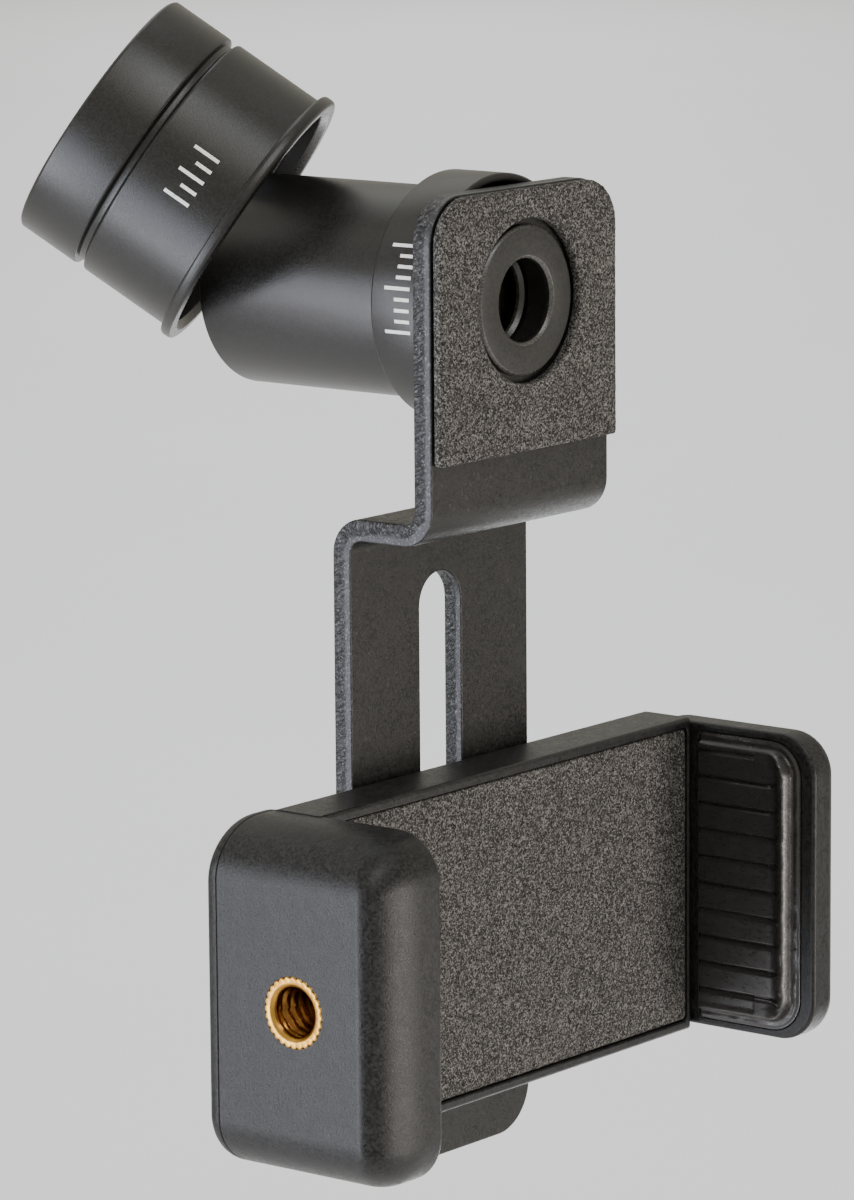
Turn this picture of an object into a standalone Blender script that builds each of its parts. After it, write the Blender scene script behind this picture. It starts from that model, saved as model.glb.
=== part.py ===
"""Phone adapter for a microscope: an eyepiece on a Z-shaped bracket, a sprung phone clamp and a 30 mm sleeve.

The origin is on the eyepiece's axis, in the plane of the shoulder that rests on the microscope's tube.
+X runs from the fixed jaw to the sprung jaw, +Y along the barrel and away from the phone, +Z up.
Dimensions are in millimetres; MM turns them into metres where a mesh or an empty is made.
"""

import math

import bmesh
import bpy
from mathutils import Matrix, Vector

MM = 0.001
GAP = 0.2  # between pieces that rest on each other
PAST = 1.0  # how far a cutter runs past the wall it cuts

# Sides of round pieces
FINE = 48
MID = 32
SMALL = 16

# Bracket, bent from steel sheet
SHEET = 2.4
BRACKET_HALF = 15.7
PLATE_FRONT = -10.0  # Y of the upper plate's front face
PLATE_TOP = 12.25
STEP_UNDER = -25.2  # Z of the step's underside
LEG_FRONT = 1.25  # Y of the leg's front face
LEG_BOTTOM = -96.8
BEND_OUTER = 4.0
TOP_CORNER = 5.2
LEG_CORNER = 5.6
SLOT_HALF = 3.64
SLOT_TOP = -30.7
SLOT_BOTTOM = -88.0
PLATE_HOLE = 6.75
PLATE_BACK = PLATE_FRONT + SHEET
LEG_BACK = LEG_FRONT + SHEET

# Foam pad on the upper plate
PAD_FRONT = -11.4
PAD_BOTTOM = -16.3
PAD_HOLE = 8.95
PAD_INSET = 0.1

# Eyepiece: the head is an open cup in front of a boss, and the lock ring screws in through the plate
BARREL_R = 11.6  # 23.2 mm tube
BARREL_BORE = 10.4
BARREL_END = 25.9
BARREL_CHAMFER = 0.4
HEAD_R = 13.55
HEAD_FRONT = -7.3
HEAD_RIM = 0.95
HEAD_CUP_DEPTH = 3.1
HEAD_SOCKET_R = 8.8
HEAD_SOCKET_DEPTH = 3.0
BOSS_R = 9.4
EYE_BORE = 6.7
LOCK_FRONT = -10.82
LOCK_R = 8.2
LOCK_NECK = 6.4
LOCK_BORE = 5.4
LOCK_APERTURE = 4.55
LOCK_LIP = 0.9
LOCK_END = -6.9
SMALL_CHAMFER = 0.25
CELL_R = 6.4  # pieces in the eye bore
STACK_R = 10.2  # pieces in the barrel
STACK_BORE = 9.3

# Adapter sleeve, perched at an angle on the barrel's end
SLEEVE_R = 15.0  # 30 mm tube
SLEEVE_FLANGE_R = 15.9
SLEEVE_FLANGE = 1.43
SLEEVE_LENGTH = 21.0
SLEEVE_BORE = 11.7
SLEEVE_MOUTH_R = 13.9
SLEEVE_MOUTH_CHAMFER = 0.6
SLEEVE_MOUTH_DEPTH = 2.4
SLEEVE_END_ROUND = 0.7
GROOVE_START = 12.43
GROOVE_END = 13.52
GROOVE_DEPTH = 0.75
GROOVE_SLOPE = 0.12
SLEEVE_MOUTH = (-4.04, 23.92, 6.72)
SLEEVE_TILT = math.radians(43.4)  # between the sleeve's axis and the barrel's
SLEEVE_LEAN = math.radians(34.7)  # of that tilt, from +Z towards -X

# Phone clamp: a channel with a fixed jaw, closed at the back by a screwed cover
CLAMP_Z = -70.4  # height of the clamp's screw
BODY_FRONT = -6.4
BODY_BACK = 0.95
BODY_HALF = 18.35
BODY_RIGHT = 36.5
BODY_REAR_ROUND = 1.3
BODY_FRONT_ROUND = 0.3
CHANNEL_FLOOR = -4.3
CHANNEL_HALF = 15.2
CHANNEL_LEFT = -27.6
CHANNEL_RIGHT = 33.4
COVER_THICK = 1.25
COVER_HALF = 16.0
COVER_RIGHT = 33.6
FIXED_Z = CLAMP_Z - 0.68  # height of the fixed jaw's middle
FIXED_OUTER = -39.66
FIXED_INNER = -29.1
FIXED_FRONT = -21.65
FIXED_PART_LINE = 0.8  # Y where the fixed jaw's cap begins
FIXED_BACK = 1.9
FIXED_HALF = 18.92
FIXED_CORNER = 5.24
FIXED_EDGE = (7.4, 6.0, 3.3)  # the outer edge's rounding: along X, along Z and along Y
FIXED_INNER_EDGE = 0.8
FIXED_WALL = 2.0
FIXED_OUTER_WALL = 3.6
FIXED_SIDE_WALL = 3.4
SEAT_LEFT = FIXED_INNER - FIXED_WALL - 2 * GAP
JAW_RIB_HALF = 7.0
BOSS_OUTER = 5.8
SCREW_BOSS_R = 2.3
SCREW_X = (-24.6, 30.2)
SCREW_Z = 6.5
SCREW_R = 0.85
SCREW_HEAD_R = 2.0

# Sprung jaw and its guide rods
MOVING_INNER = 36.85
MOVING_OUTER = 41.6
MOVING_FRONT = -23.27
MOVING_HALF = 17.8
MOVING_CORNER = 4.9
MOVING_EDGE = (2.0, 2.0, 2.0)
MOVING_INNER_EDGE = 0.5
FOOT_OUTER = 43.6
FOOT_HALF = 16.5
ROD_Y = -2.4
ROD_OFFSET = 12.5
ROD_R = 1.0
ROD_START = -25.8
ROD_END = 41.75
ROD_PLAY = 0.13
CLIP_X = -25.0
CLIP_R = 1.7
CLIP_THICK = 0.8
SPRING_START = -23.95
SPRING_END = 33.15
SPRING_R = 1.42
SPRING_WIRE = 0.2
SPRING_TURNS = 13

# Foam and rubber that touch the phone
FOAM_SEAT = -5.3
FOAM_FRONT = -6.25
FOAM_HALF = 17.1
FOAM_LEFT = -28.2
FOAM_RIGHT = 35.75
RIB_PITCH = 3.12
RIB_COUNT = 10
RIB_START = CLAMP_Z - 16.45
RIB_HEIGHT = 0.7
RUBBER_BASE = 0.8
FIXED_RUBBER_FRONT = -19.9
MOVING_RUBBER_FRONT = -21.4
RUBBER_BACK = -7.3
RUBBER_HALF = 16.8
RUBBER_CORNER = 4.0
LIP_HEIGHT = 2.0
LIP_START = 1.2
LIP_DEPTH = 3.2
LIP_LAND = 0.6
LIP_HALF = 15.4

# Brass inserts with a 1/4"-20 thread, drawn as plain bores
INSERT_R = 3.95
INSERT_BORE = 2.65
INSERT_LENGTH = 8.0
INSERT_Y = -10.0
INSERT_Z = CLAMP_Z - 0.5
INSERT_LOBES = 24
INSERT_LOBE = 0.3

# Thumb screw and its washer
STUD_R = 3.05
STUD_START = -3.8
STUD_END = 11.7
WASHER_R = 7.0
WASHER_THICK = 1.0
KNOB_R = 10.0
KNOB_FRONT = 5.2
KNOB_BACK = 14.5
KNOB_LOBES = 12
KNOB_LOBE = 1.1

COLOURS = {  # colour, roughness, metallic
    "black_paint": ((0.022, 0.022, 0.024), 0.42, 0.0),
    "black_anodised": ((0.016, 0.016, 0.017), 0.34, 0.6),
    "black_plastic": ((0.028, 0.028, 0.031), 0.48, 0.0),
    "foam": ((0.035, 0.032, 0.030), 0.95, 0.0),
    "rubber": ((0.018, 0.017, 0.017), 0.62, 0.0),
    "brass": ((0.80, 0.56, 0.24), 0.25, 1.0),
    "steel": ((0.56, 0.56, 0.57), 0.3, 1.0),
    "glass": ((0.95, 0.96, 0.94), 0.02, 0.0),
}


# ---------------------------------------------------------------- objects
def material(name):
    """Returns the named Principled material, made on first use."""
    found = bpy.data.materials.get(name)
    if found:
        return found
    colour, roughness, metallic = COLOURS[name]
    made = bpy.data.materials.new(name)
    made.use_nodes = True
    shader = made.node_tree.nodes["Principled BSDF"]
    shader.inputs["Base Color"].default_value = (*colour, 1.0)
    shader.inputs["Roughness"].default_value = roughness
    shader.inputs["Metallic"].default_value = metallic
    made.diffuse_color = (*colour, 1.0)
    return made


def pivot(name, where, turn=Matrix.Identity(4), parent=None):
    """Adds an empty at a place in millimetres. A moving piece hangs on one that is on its joint's axis."""
    made = bpy.data.objects.new(name, None)
    bpy.context.collection.objects.link(made)
    made.matrix_world = Matrix.Translation(Vector(where) * MM) @ turn
    bpy.context.view_layer.update()
    if parent:
        made.parent = parent
        made.matrix_parent_inverse = parent.matrix_world.inverted()
    return made


def hold(name, shape, holder):
    """Makes an object of a bmesh drawn in millimetres and world axes, and hangs it on an empty."""
    bmesh.ops.recalc_face_normals(shape, faces=shape.faces)
    bmesh.ops.scale(shape, verts=shape.verts, vec=(MM, MM, MM))
    shape.transform(holder.matrix_world.inverted())
    mesh = bpy.data.meshes.new(name)
    shape.to_mesh(mesh)
    shape.free()
    made = bpy.data.objects.new(name, mesh)
    bpy.context.collection.objects.link(made)
    made.parent = holder
    mesh.shade_smooth()
    mesh.set_sharp_from_angle(angle=math.radians(35))
    return made


def part(name, shape, holder, finish):
    """Adds a sub-part with its material."""
    made = hold(name, shape, holder)
    made.data.materials.append(material(finish))
    return made


def combine(target, shape, operation, label):
    """Adds an exact Boolean to a sub-part, with the shape as its hidden tool."""
    tool = hold(f"{target.name}_{label}", shape, target.parent)
    tool.hide_render = True
    tool.hide_set(True)
    tool.display_type = "WIRE"
    step = target.modifiers.new(label, "BOOLEAN")
    step.operation = operation
    step.solver = "EXACT"
    step.object = tool


def cut(target, shape, label):
    combine(target, shape, "DIFFERENCE", label)


def join(target, shape, label):
    combine(target, shape, "UNION", label)


# ---------------------------------------------------------------- shapes
def arc(centre, radius, start, end, steps, rise=None):
    """Points along an arc, with angles in degrees. The rise is an ellipse's second radius."""
    rise = radius if rise is None else rise
    points = []
    for i in range(steps + 1):
        angle = math.radians(start + (end - start) * i / steps)
        points.append((centre[0] + radius * math.cos(angle), centre[1] + rise * math.sin(angle)))
    return points


def rounded(low, high, radii, steps=5):
    """A rectangle with its own radius at each corner, anticlockwise from the lower left."""
    corners = [
        (low[0], low[1], 1, 1, 180),
        (high[0], low[1], -1, 1, 270),
        (high[0], high[1], -1, -1, 0),
        (low[0], high[1], 1, -1, 90),
    ]
    points = []
    for (x, y, right, up, start), radius in zip(corners, radii):
        points += arc((x + right * radius, y + up * radius), radius, start, start + 90, steps)
    return points


def loft(rings):
    """A closed solid through rings of points, with flat ends."""
    shape = bmesh.new()
    loops = [[shape.verts.new(point) for point in ring] for ring in rings]
    for near, far in zip(loops, loops[1:]):
        for i in range(len(near)):
            j = (i + 1) % len(near)
            shape.faces.new((near[i], near[j], far[j], far[i]))
    shape.faces.new(reversed(loops[0]))
    shape.faces.new(loops[-1])
    return shape


def prism(outline, axis, start, end):
    """Extrudes an outline along an axis. Its two numbers lie along the other two axes, in X, Y, Z order."""
    rings = []
    for level in (start, end):
        ring = []
        for first, second in outline:
            point = [first, second]
            point.insert("XYZ".index(axis), level)
            ring.append(point)
        rings.append(ring)
    return loft(rings)


def box(low, high):
    """A plain block between two corners."""
    outline = [(low[1], low[2]), (high[1], low[2]), (high[1], high[2]), (low[1], high[2])]
    return prism(outline, "X", low[0], high[0])


def merged(shapes):
    """One bmesh that holds several shapes side by side."""
    whole = bmesh.new()
    for shape in shapes:
        mesh = bpy.data.meshes.new("scratch")
        shape.to_mesh(mesh)
        whole.from_mesh(mesh)
        shape.free()
        bpy.data.meshes.remove(mesh)
    return whole


def circle(shape, radius, level, sides):
    """A ring of vertices round +Y, or one vertex on the axis."""
    if radius == 0:
        return [shape.verts.new((0, level, 0))] * sides
    loop = []
    for i in range(sides):
        angle = 2 * math.pi * i / sides
        loop.append(shape.verts.new((radius * math.cos(angle), level, radius * math.sin(angle))))
    return loop


def skin(shape, near, far):
    """Joins two rings of vertices, where either may be one vertex on the axis."""
    for i in range(len(near)):
        j = (i + 1) % len(near)
        corners = list(dict.fromkeys((near[i], near[j], far[j], far[i])))
        if len(corners) > 2:
            shape.faces.new(corners)


def turned(profile, sides, turn=Matrix.Identity(4)):
    """Revolves a closed profile of (radius, level) points about +Y, then moves it by a matrix."""
    shape = bmesh.new()
    loops = [circle(shape, radius, level, sides) for radius, level in profile]
    for near, far in zip(loops, loops[1:] + loops[:1]):
        skin(shape, near, far)
    shape.transform(turn)
    return shape


def cylinder(radius, start, end, sides, turn=Matrix.Identity(4), bevel=0.0):
    """A solid cylinder along +Y, with its edges bevelled where a bevel is given."""
    profile = [(0, start), (radius - bevel, start)]
    if bevel:
        profile += [(radius, start + bevel), (radius, end - bevel)]
    profile += [(radius - bevel, end), (0, end)]
    return turned(profile, sides, turn)


def ring(inner, outer, start, end, sides, turn=Matrix.Identity(4), bevel=0.1):
    """A ring along +Y with small bevels on its outer edges."""
    profile = [
        (inner, start),
        (outer - bevel, start),
        (outer, start + bevel),
        (outer, end - bevel),
        (outer - bevel, end),
        (inner, end),
    ]
    return turned(profile, sides, turn)


def at(x, y, z):
    return Matrix.Translation((x, y, z))


def along_x(x, y, z):
    """Places a shape that is drawn along +Y so that it runs along +X."""
    return at(x, y, z) @ Matrix.Rotation(-math.pi / 2, 4, "Z")


# ---------------------------------------------------------------- bracket and its foam
def bracket(holder):
    """The Z-shaped sheet: upper plate, step and slotted leg."""
    inner = BEND_OUTER - SHEET
    front_bend = (PLATE_FRONT + BEND_OUTER, STEP_UNDER + BEND_OUTER)
    rear_bend = (LEG_FRONT - inner, STEP_UNDER - inner)
    side = [(PLATE_FRONT, PLATE_TOP)]
    side += arc(front_bend, BEND_OUTER, 180, 270, 8)
    side += arc(rear_bend, inner, 90, 0, 5)
    side += [(LEG_FRONT, LEG_BOTTOM), (LEG_BACK, LEG_BOTTOM)]
    side += arc(rear_bend, BEND_OUTER, 0, 90, 8)
    side += arc(front_bend, inner, 270, 180, 5)
    side += [(PLATE_BACK, PLATE_TOP)]
    blank = prism(side, "X", -BRACKET_HALF - PAST, BRACKET_HALF + PAST)
    made = part("z_bracket", blank, holder, "black_paint")
    radii = (LEG_CORNER, LEG_CORNER, TOP_CORNER, TOP_CORNER)
    face = rounded((-BRACKET_HALF, LEG_BOTTOM), (BRACKET_HALF, PLATE_TOP), radii, 8)
    combine(made, prism(face, "Y", PLATE_FRONT - PAST, LEG_BACK + PAST), "INTERSECT", "outline")
    slot = arc((0, SLOT_TOP - SLOT_HALF), SLOT_HALF, 0, 180, 12)
    slot += arc((0, SLOT_BOTTOM + SLOT_HALF), SLOT_HALF, 180, 360, 12)
    cut(made, prism(slot, "Y", LEG_FRONT - PAST, LEG_BACK + PAST), "slot")
    cut(made, cylinder(PLATE_HOLE, PLATE_FRONT - PAST, PLATE_BACK + PAST, MID), "hole")


def plate_pad(holder):
    """The foam that keeps the phone off the upper plate."""
    low = (-BRACKET_HALF + PAD_INSET, PAD_BOTTOM)
    high = (BRACKET_HALF - PAD_INSET, PLATE_TOP - PAD_INSET)
    outline = rounded(low, high, (0.4, 0.4, TOP_CORNER, TOP_CORNER), 6)
    pad = prism(outline, "Y", PAD_FRONT, PLATE_FRONT - GAP)
    made = part("plate_foam_pad", pad, holder, "foam")
    cut(made, cylinder(PAD_HOLE, PAD_FRONT - PAST, PLATE_FRONT + PAST, FINE), "hole")


# ---------------------------------------------------------------- eyepiece
def eyepiece_shell(holder):
    """The lock ring in front of the plate, the head behind it and the barrel screwed into the head."""
    lock = [
        (LOCK_APERTURE + SMALL_CHAMFER, LOCK_FRONT),
        (LOCK_R - SMALL_CHAMFER, LOCK_FRONT),
        (LOCK_R, LOCK_FRONT + SMALL_CHAMFER),
        (LOCK_R, PLATE_FRONT - GAP),
        (LOCK_NECK, PLATE_FRONT - GAP),
        (LOCK_NECK, LOCK_END),
        (LOCK_BORE, LOCK_END),
        (LOCK_BORE, LOCK_FRONT + LOCK_LIP + GAP),
        (LOCK_APERTURE, LOCK_FRONT + LOCK_LIP),
        (LOCK_APERTURE, LOCK_FRONT + SMALL_CHAMFER),
    ]
    part("lock_ring", turned(lock, FINE), holder, "black_anodised")
    cup = HEAD_R - HEAD_RIM
    head = [
        (cup, HEAD_FRONT),
        (HEAD_R - GAP, HEAD_FRONT),
        (HEAD_R, HEAD_FRONT + GAP),
        (HEAD_R, -SMALL_CHAMFER),
        (HEAD_R - SMALL_CHAMFER, 0),
        (HEAD_SOCKET_R, 0),
        (HEAD_SOCKET_R, -HEAD_SOCKET_DEPTH),
        (EYE_BORE, -HEAD_SOCKET_DEPTH),
        (EYE_BORE, PLATE_BACK + GAP),
        (BOSS_R, PLATE_BACK + GAP),
        (BOSS_R, HEAD_FRONT + HEAD_CUP_DEPTH),
        (cup, HEAD_FRONT + HEAD_CUP_DEPTH),
    ]
    part("eyepiece_head", turned(head, FINE), holder, "black_anodised")
    floor = 1.6
    barrel = [
        (EYE_BORE, GAP - HEAD_SOCKET_DEPTH),
        (HEAD_SOCKET_R - GAP, GAP - HEAD_SOCKET_DEPTH),
        (HEAD_SOCKET_R - GAP, GAP),
        (BARREL_R, GAP),
        (BARREL_R, BARREL_END - BARREL_CHAMFER),
        (BARREL_R - BARREL_CHAMFER, BARREL_END),
        (BARREL_BORE, BARREL_END),
        (BARREL_BORE, floor),
        (EYE_BORE, floor),
    ]
    part("eyepiece_barrel", turned(barrel, FINE), holder, "black_anodised")


def lens(radius, front, back, front_bulge, back_bulge):
    """A lens profile: its edge runs from front to back, and its faces bulge by the heights given."""
    steps = 4
    curve = [(radius * i / steps, 1 - (i / steps) ** 2) for i in range(steps + 1)]
    profile = [(r, front - front_bulge * height) for r, height in curve]
    profile += [(r, back + back_bulge * height) for r, height in reversed(curve)]
    return profile


def eyepiece_optics(holder):
    """The stack in the head and barrel, from the eye lens to the ring that holds the field lens."""
    retainer = [(5.2, -6.6), (CELL_R, -6.6), (CELL_R, -5.75), (4.8, -5.75), (4.8, -6.2)]
    part("eye_lens_retainer", turned(retainer, MID), holder, "black_anodised")
    part("eye_lens", turned(lens(CELL_R, -4.6, -2.5, 0.85, 0.7), MID), holder, "glass")
    part("eye_lens_spacer", ring(5.6, CELL_R, -2.25, 1.4, MID), holder, "black_anodised")
    part("front_tube", ring(STACK_BORE, STACK_R, 1.8, 9.15, MID), holder, "black_anodised")
    part("field_stop", ring(6.5, STACK_R, 9.35, 10.15, MID), holder, "black_anodised")
    part("rear_tube", ring(STACK_BORE, STACK_R, 10.35, 20.0, MID), holder, "black_anodised")
    part("field_lens", turned(lens(STACK_R, 20.45, 22.4, 1.2, 0.3), MID), holder, "glass")
    part("field_lens_retainer", ring(9.0, STACK_R, 22.85, 24.2, MID), holder, "black_anodised")


# ---------------------------------------------------------------- sleeve
def sleeve_turn():
    """Turns the sleeve's own +Y from the barrel's, up and then to the left."""
    return Matrix.Rotation(-SLEEVE_LEAN, 4, "Y") @ Matrix.Rotation(SLEEVE_TILT, 4, "X")


def sleeve(holder):
    """The flanged sleeve that makes the barrel up to a 30 mm tube."""
    groove = SLEEVE_R - GROOVE_DEPTH
    profile = [
        (SLEEVE_MOUTH_R + SLEEVE_MOUTH_CHAMFER, 0),
        (SLEEVE_FLANGE_R - SMALL_CHAMFER, 0),
        (SLEEVE_FLANGE_R, SMALL_CHAMFER),
        (SLEEVE_FLANGE_R, SLEEVE_FLANGE - SMALL_CHAMFER),
        (SLEEVE_FLANGE_R - SMALL_CHAMFER, SLEEVE_FLANGE),
        (SLEEVE_R, SLEEVE_FLANGE),
        (SLEEVE_R, GROOVE_START),
        (groove, GROOVE_START + GROOVE_SLOPE),
        (groove, GROOVE_END - GROOVE_SLOPE),
        (SLEEVE_R, GROOVE_END),
        (SLEEVE_R, SLEEVE_LENGTH - SLEEVE_END_ROUND),
        (SLEEVE_R - SLEEVE_END_ROUND, SLEEVE_LENGTH),
        (SLEEVE_BORE + SMALL_CHAMFER, SLEEVE_LENGTH),
        (SLEEVE_BORE, SLEEVE_LENGTH - SMALL_CHAMFER),
        (SLEEVE_BORE, SLEEVE_MOUTH_DEPTH),
        (SLEEVE_MOUTH_R, SLEEVE_MOUTH_DEPTH),
        (SLEEVE_MOUTH_R, SLEEVE_MOUTH_CHAMFER),
    ]
    shape = turned(profile, FINE, at(*SLEEVE_MOUTH) @ sleeve_turn())
    part("adapter_sleeve", shape, holder, "black_anodised")


# ---------------------------------------------------------------- thumb screw
def washer(holder):
    start = LEG_BACK + GAP
    shape = ring(STUD_R + GAP, WASHER_R, start, start + WASHER_THICK, MID, at(0, 0, CLAMP_Z))
    part("screw_washer", shape, holder, "steel")


def thumb_screw(holder):
    """The lobed knob behind the leg, and its stud that runs through the slot into the clamp."""
    steps = KNOB_LOBES * 6
    edge = 0.8
    sections = [
        (KNOB_FRONT, edge),
        (KNOB_FRONT + edge, 0),
        (KNOB_BACK - edge, 0),
        (KNOB_BACK, edge),
    ]
    rings = []
    for level, inset in sections:
        loop = []
        for i in range(steps):
            angle = 2 * math.pi * i / steps
            radius = KNOB_R - inset - KNOB_LOBE * (1 - math.cos(KNOB_LOBES * angle)) / 4
            loop.append((radius * math.cos(angle), level, CLAMP_Z + radius * math.sin(angle)))
        rings.append(loop)
    made = part("thumb_knob", loft(rings), holder, "black_plastic")
    axis = at(0, 0, CLAMP_Z)
    cut(made, cylinder(STUD_R + GAP, KNOB_FRONT - PAST, STUD_END + GAP, SMALL, axis), "bore")
    part("knob_stud", cylinder(STUD_R, STUD_START, STUD_END, SMALL, axis, 0.4), holder, "steel")


# ---------------------------------------------------------------- clamp
def jaw_block(low, high, outer, inner, corner, edge, inner_edge, steps=5):
    """A block across X with rounded corners, its outer face's edges rounded and its inner face's less so."""
    side = 1 if inner > outer else -1
    depth, rise, ahead = edge
    sections = []
    for i in range(steps + 1):
        turn = math.pi / 2 * i / steps
        share = 1 - math.sin(turn)
        sections.append((outer + side * depth * (1 - math.cos(turn)), rise * share, ahead * share))
    for i in range(2, -1, -1):
        turn = math.pi / 4 * i
        inset = inner_edge * (1 - math.sin(turn))
        sections.append((inner - side * inner_edge * (1 - math.cos(turn)), inset, inset))
    rings = []
    for x, inset, front in sections:
        corners = (max(corner - inset, 0.5),) * 4
        outline = rounded((low[0] + front, low[1] + inset), (high[0] - inset, high[1] - inset), corners)
        rings.append([(x, y, z) for y, z in outline])
    return loft(rings)


def screw_places():
    """X and Z of the cover's four screws."""
    return [(x, CLAMP_Z + z) for x in SCREW_X for z in (-SCREW_Z, SCREW_Z)]


def rod_heights():
    return {"upper": CLAMP_Z + ROD_OFFSET, "lower": CLAMP_Z - ROD_OFFSET}


def rubber_outline(front, spare=0.0):
    """The rubber pad's outline in Y and Z, grown by a spare on every side."""
    corner = RUBBER_CORNER + spare
    low = (front - spare, CLAMP_Z - RUBBER_HALF - spare)
    return rounded(low, (RUBBER_BACK + spare, CLAMP_Z + RUBBER_HALF + spare), (corner, 0.5, 0.5, corner), 4)


def rubber_recess(face, way, front):
    """The pocket for a rubber pad in a jaw's face. The way is +1 where the jaw lies towards +X."""
    return prism(rubber_outline(front, GAP), "X", *sorted((face - way * PAST, face + way * (RUBBER_BASE + GAP))))


def clamp_body(holder):
    """The moulding with the fixed jaw and the channel, both open at the back."""
    jaw_low = (FIXED_FRONT, FIXED_Z - FIXED_HALF)
    jaw_high = (FIXED_PART_LINE + FIXED_EDGE[1] + 2, FIXED_Z + FIXED_HALF)
    jaw = jaw_block(jaw_low, jaw_high, FIXED_OUTER, FIXED_INNER, FIXED_CORNER, FIXED_EDGE, FIXED_INNER_EDGE)
    made = part("clamp_body", jaw, holder, "black_plastic")
    radii = (BODY_FRONT_ROUND, BODY_REAR_ROUND, BODY_REAR_ROUND, BODY_FRONT_ROUND)
    low = (BODY_FRONT, CLAMP_Z - BODY_HALF)
    channel = rounded(low, (BODY_BACK, CLAMP_Z + BODY_HALF), radii, 4)
    join(made, prism(channel, "X", FIXED_INNER - FIXED_WALL / 2, BODY_RIGHT), "channel")
    back = BODY_BACK + PAST
    low = (FIXED_OUTER - PAST, FIXED_PART_LINE, FIXED_Z - FIXED_HALF - PAST)
    high = (FIXED_INNER + GAP, jaw_high[0] + PAST, FIXED_Z + FIXED_HALF + PAST)
    cut(made, box(low, high), "cap_seat")
    low = (FOAM_LEFT - GAP, BODY_FRONT - PAST, CLAMP_Z - FOAM_HALF - GAP)
    cut(made, box(low, (FOAM_RIGHT + GAP, FOAM_SEAT, CLAMP_Z + FOAM_HALF + GAP)), "foam_recess")
    cut(made, rubber_recess(FIXED_INNER, -1, FIXED_RUBBER_FRONT), "rubber_recess")
    pockets = []
    pocket = FIXED_HALF - FIXED_SIDE_WALL
    for low_z, high_z in ((JAW_RIB_HALF, pocket), (-pocket, -JAW_RIB_HALF)):
        low = (FIXED_OUTER + FIXED_OUTER_WALL, FIXED_FRONT + FIXED_SIDE_WALL, CLAMP_Z + low_z)
        pockets.append(box(low, (FIXED_INNER - FIXED_WALL, back, CLAMP_Z + high_z)))
    cut(made, merged(pockets), "jaw_pockets")
    low = (CHANNEL_LEFT, CHANNEL_FLOOR, CLAMP_Z - CHANNEL_HALF)
    cut(made, box(low, (CHANNEL_RIGHT, back, CLAMP_Z + CHANNEL_HALF)), "channel_hollow")
    seat = BODY_BACK - COVER_THICK - GAP
    low = (SEAT_LEFT, seat, CLAMP_Z - COVER_HALF - GAP)
    cut(made, box(low, (COVER_RIGHT + GAP, back, CLAMP_Z + COVER_HALF + GAP)), "cover_seat")
    root = CHANNEL_FLOOR - 0.6
    bosses = [cylinder(BOSS_OUTER, root, BODY_BACK - GAP, MID, at(0, 0, CLAMP_Z))]
    for x, z in screw_places():
        bosses.append(cylinder(SCREW_BOSS_R, root, seat - GAP, SMALL, at(x, 0, z)))
    join(made, merged(bosses), "bosses")
    holes = [cylinder(INSERT_R + GAP, CHANNEL_FLOOR + GAP, back, SMALL, at(0, 0, CLAMP_Z))]
    for x, z in screw_places():
        holes.append(cylinder(SCREW_R + GAP, CHANNEL_FLOOR + GAP, back, SMALL, at(x, 0, z)))
    for z in rod_heights().values():
        start = along_x(CHANNEL_RIGHT - PAST, ROD_Y, z)
        holes.append(cylinder(ROD_R + ROD_PLAY, 0, BODY_RIGHT - CHANNEL_RIGHT + 2 * PAST, SMALL, start))
    start = along_x(FIXED_OUTER - PAST, INSERT_Y, INSERT_Z)
    holes.append(cylinder(INSERT_R + GAP, 0, INSERT_LENGTH + PAST + GAP, SMALL, start))
    cut(made, merged(holes), "holes")


def back_cover(holder):
    """The cover that closes the channel and caps the fixed jaw's back."""
    low_z = FIXED_Z - FIXED_HALF
    high_z = FIXED_Z + FIXED_HALF
    depth, rise = FIXED_EDGE[:2]
    sections = [
        (FIXED_PART_LINE + GAP, 0),
        (FIXED_BACK - 0.6, 0),
        (FIXED_BACK - 0.2, 0.2),
        (FIXED_BACK, 0.6),
    ]
    rings = []
    for y, inset in sections:
        outline = arc((FIXED_OUTER + inset + depth, low_z + inset + rise), depth, 180, 270, 5, rise)
        outline += arc((FIXED_INNER - inset - 1, low_z + inset + 1), 1, 270, 360, 5)
        outline += arc((FIXED_INNER - inset - 1, high_z - inset - 1), 1, 0, 90, 5)
        outline += arc((FIXED_OUTER + inset + depth, high_z - inset - rise), depth, 90, 180, 5, rise)
        rings.append([(x, y, z) for x, z in outline])
    made = part("back_cover", loft(rings), holder, "black_plastic")
    seat = BODY_BACK - COVER_THICK
    left = SEAT_LEFT + GAP
    tongue_high = (FIXED_INNER - GAP, FIXED_PART_LINE + 2 * GAP, CLAMP_Z + COVER_HALF)
    join(made, box((left, seat, CLAMP_Z - COVER_HALF), tongue_high), "tongue")
    plate_high = (COVER_RIGHT, BODY_BACK - 0.05, CLAMP_Z + COVER_HALF - 0.05)
    join(made, box((left + GAP, seat + 0.05, CLAMP_Z - COVER_HALF + 0.05), plate_high), "plate")
    front = seat - PAST
    holes = [cylinder(BOSS_OUTER + GAP, front, BODY_BACK + PAST, MID, at(0, 0, CLAMP_Z))]
    sink = BODY_BACK - COVER_THICK / 2
    for x, z in screw_places():
        profile = [
            (0, front),
            (SCREW_R + GAP, front),
            (SCREW_R + GAP, sink - GAP),
            (SCREW_HEAD_R + GAP, sink - GAP),
            (SCREW_HEAD_R + GAP, BODY_BACK + PAST),
            (0, BODY_BACK + PAST),
        ]
        holes.append(turned(profile, SMALL, at(x, 0, z)))
    cut(made, merged(holes), "holes")


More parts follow.
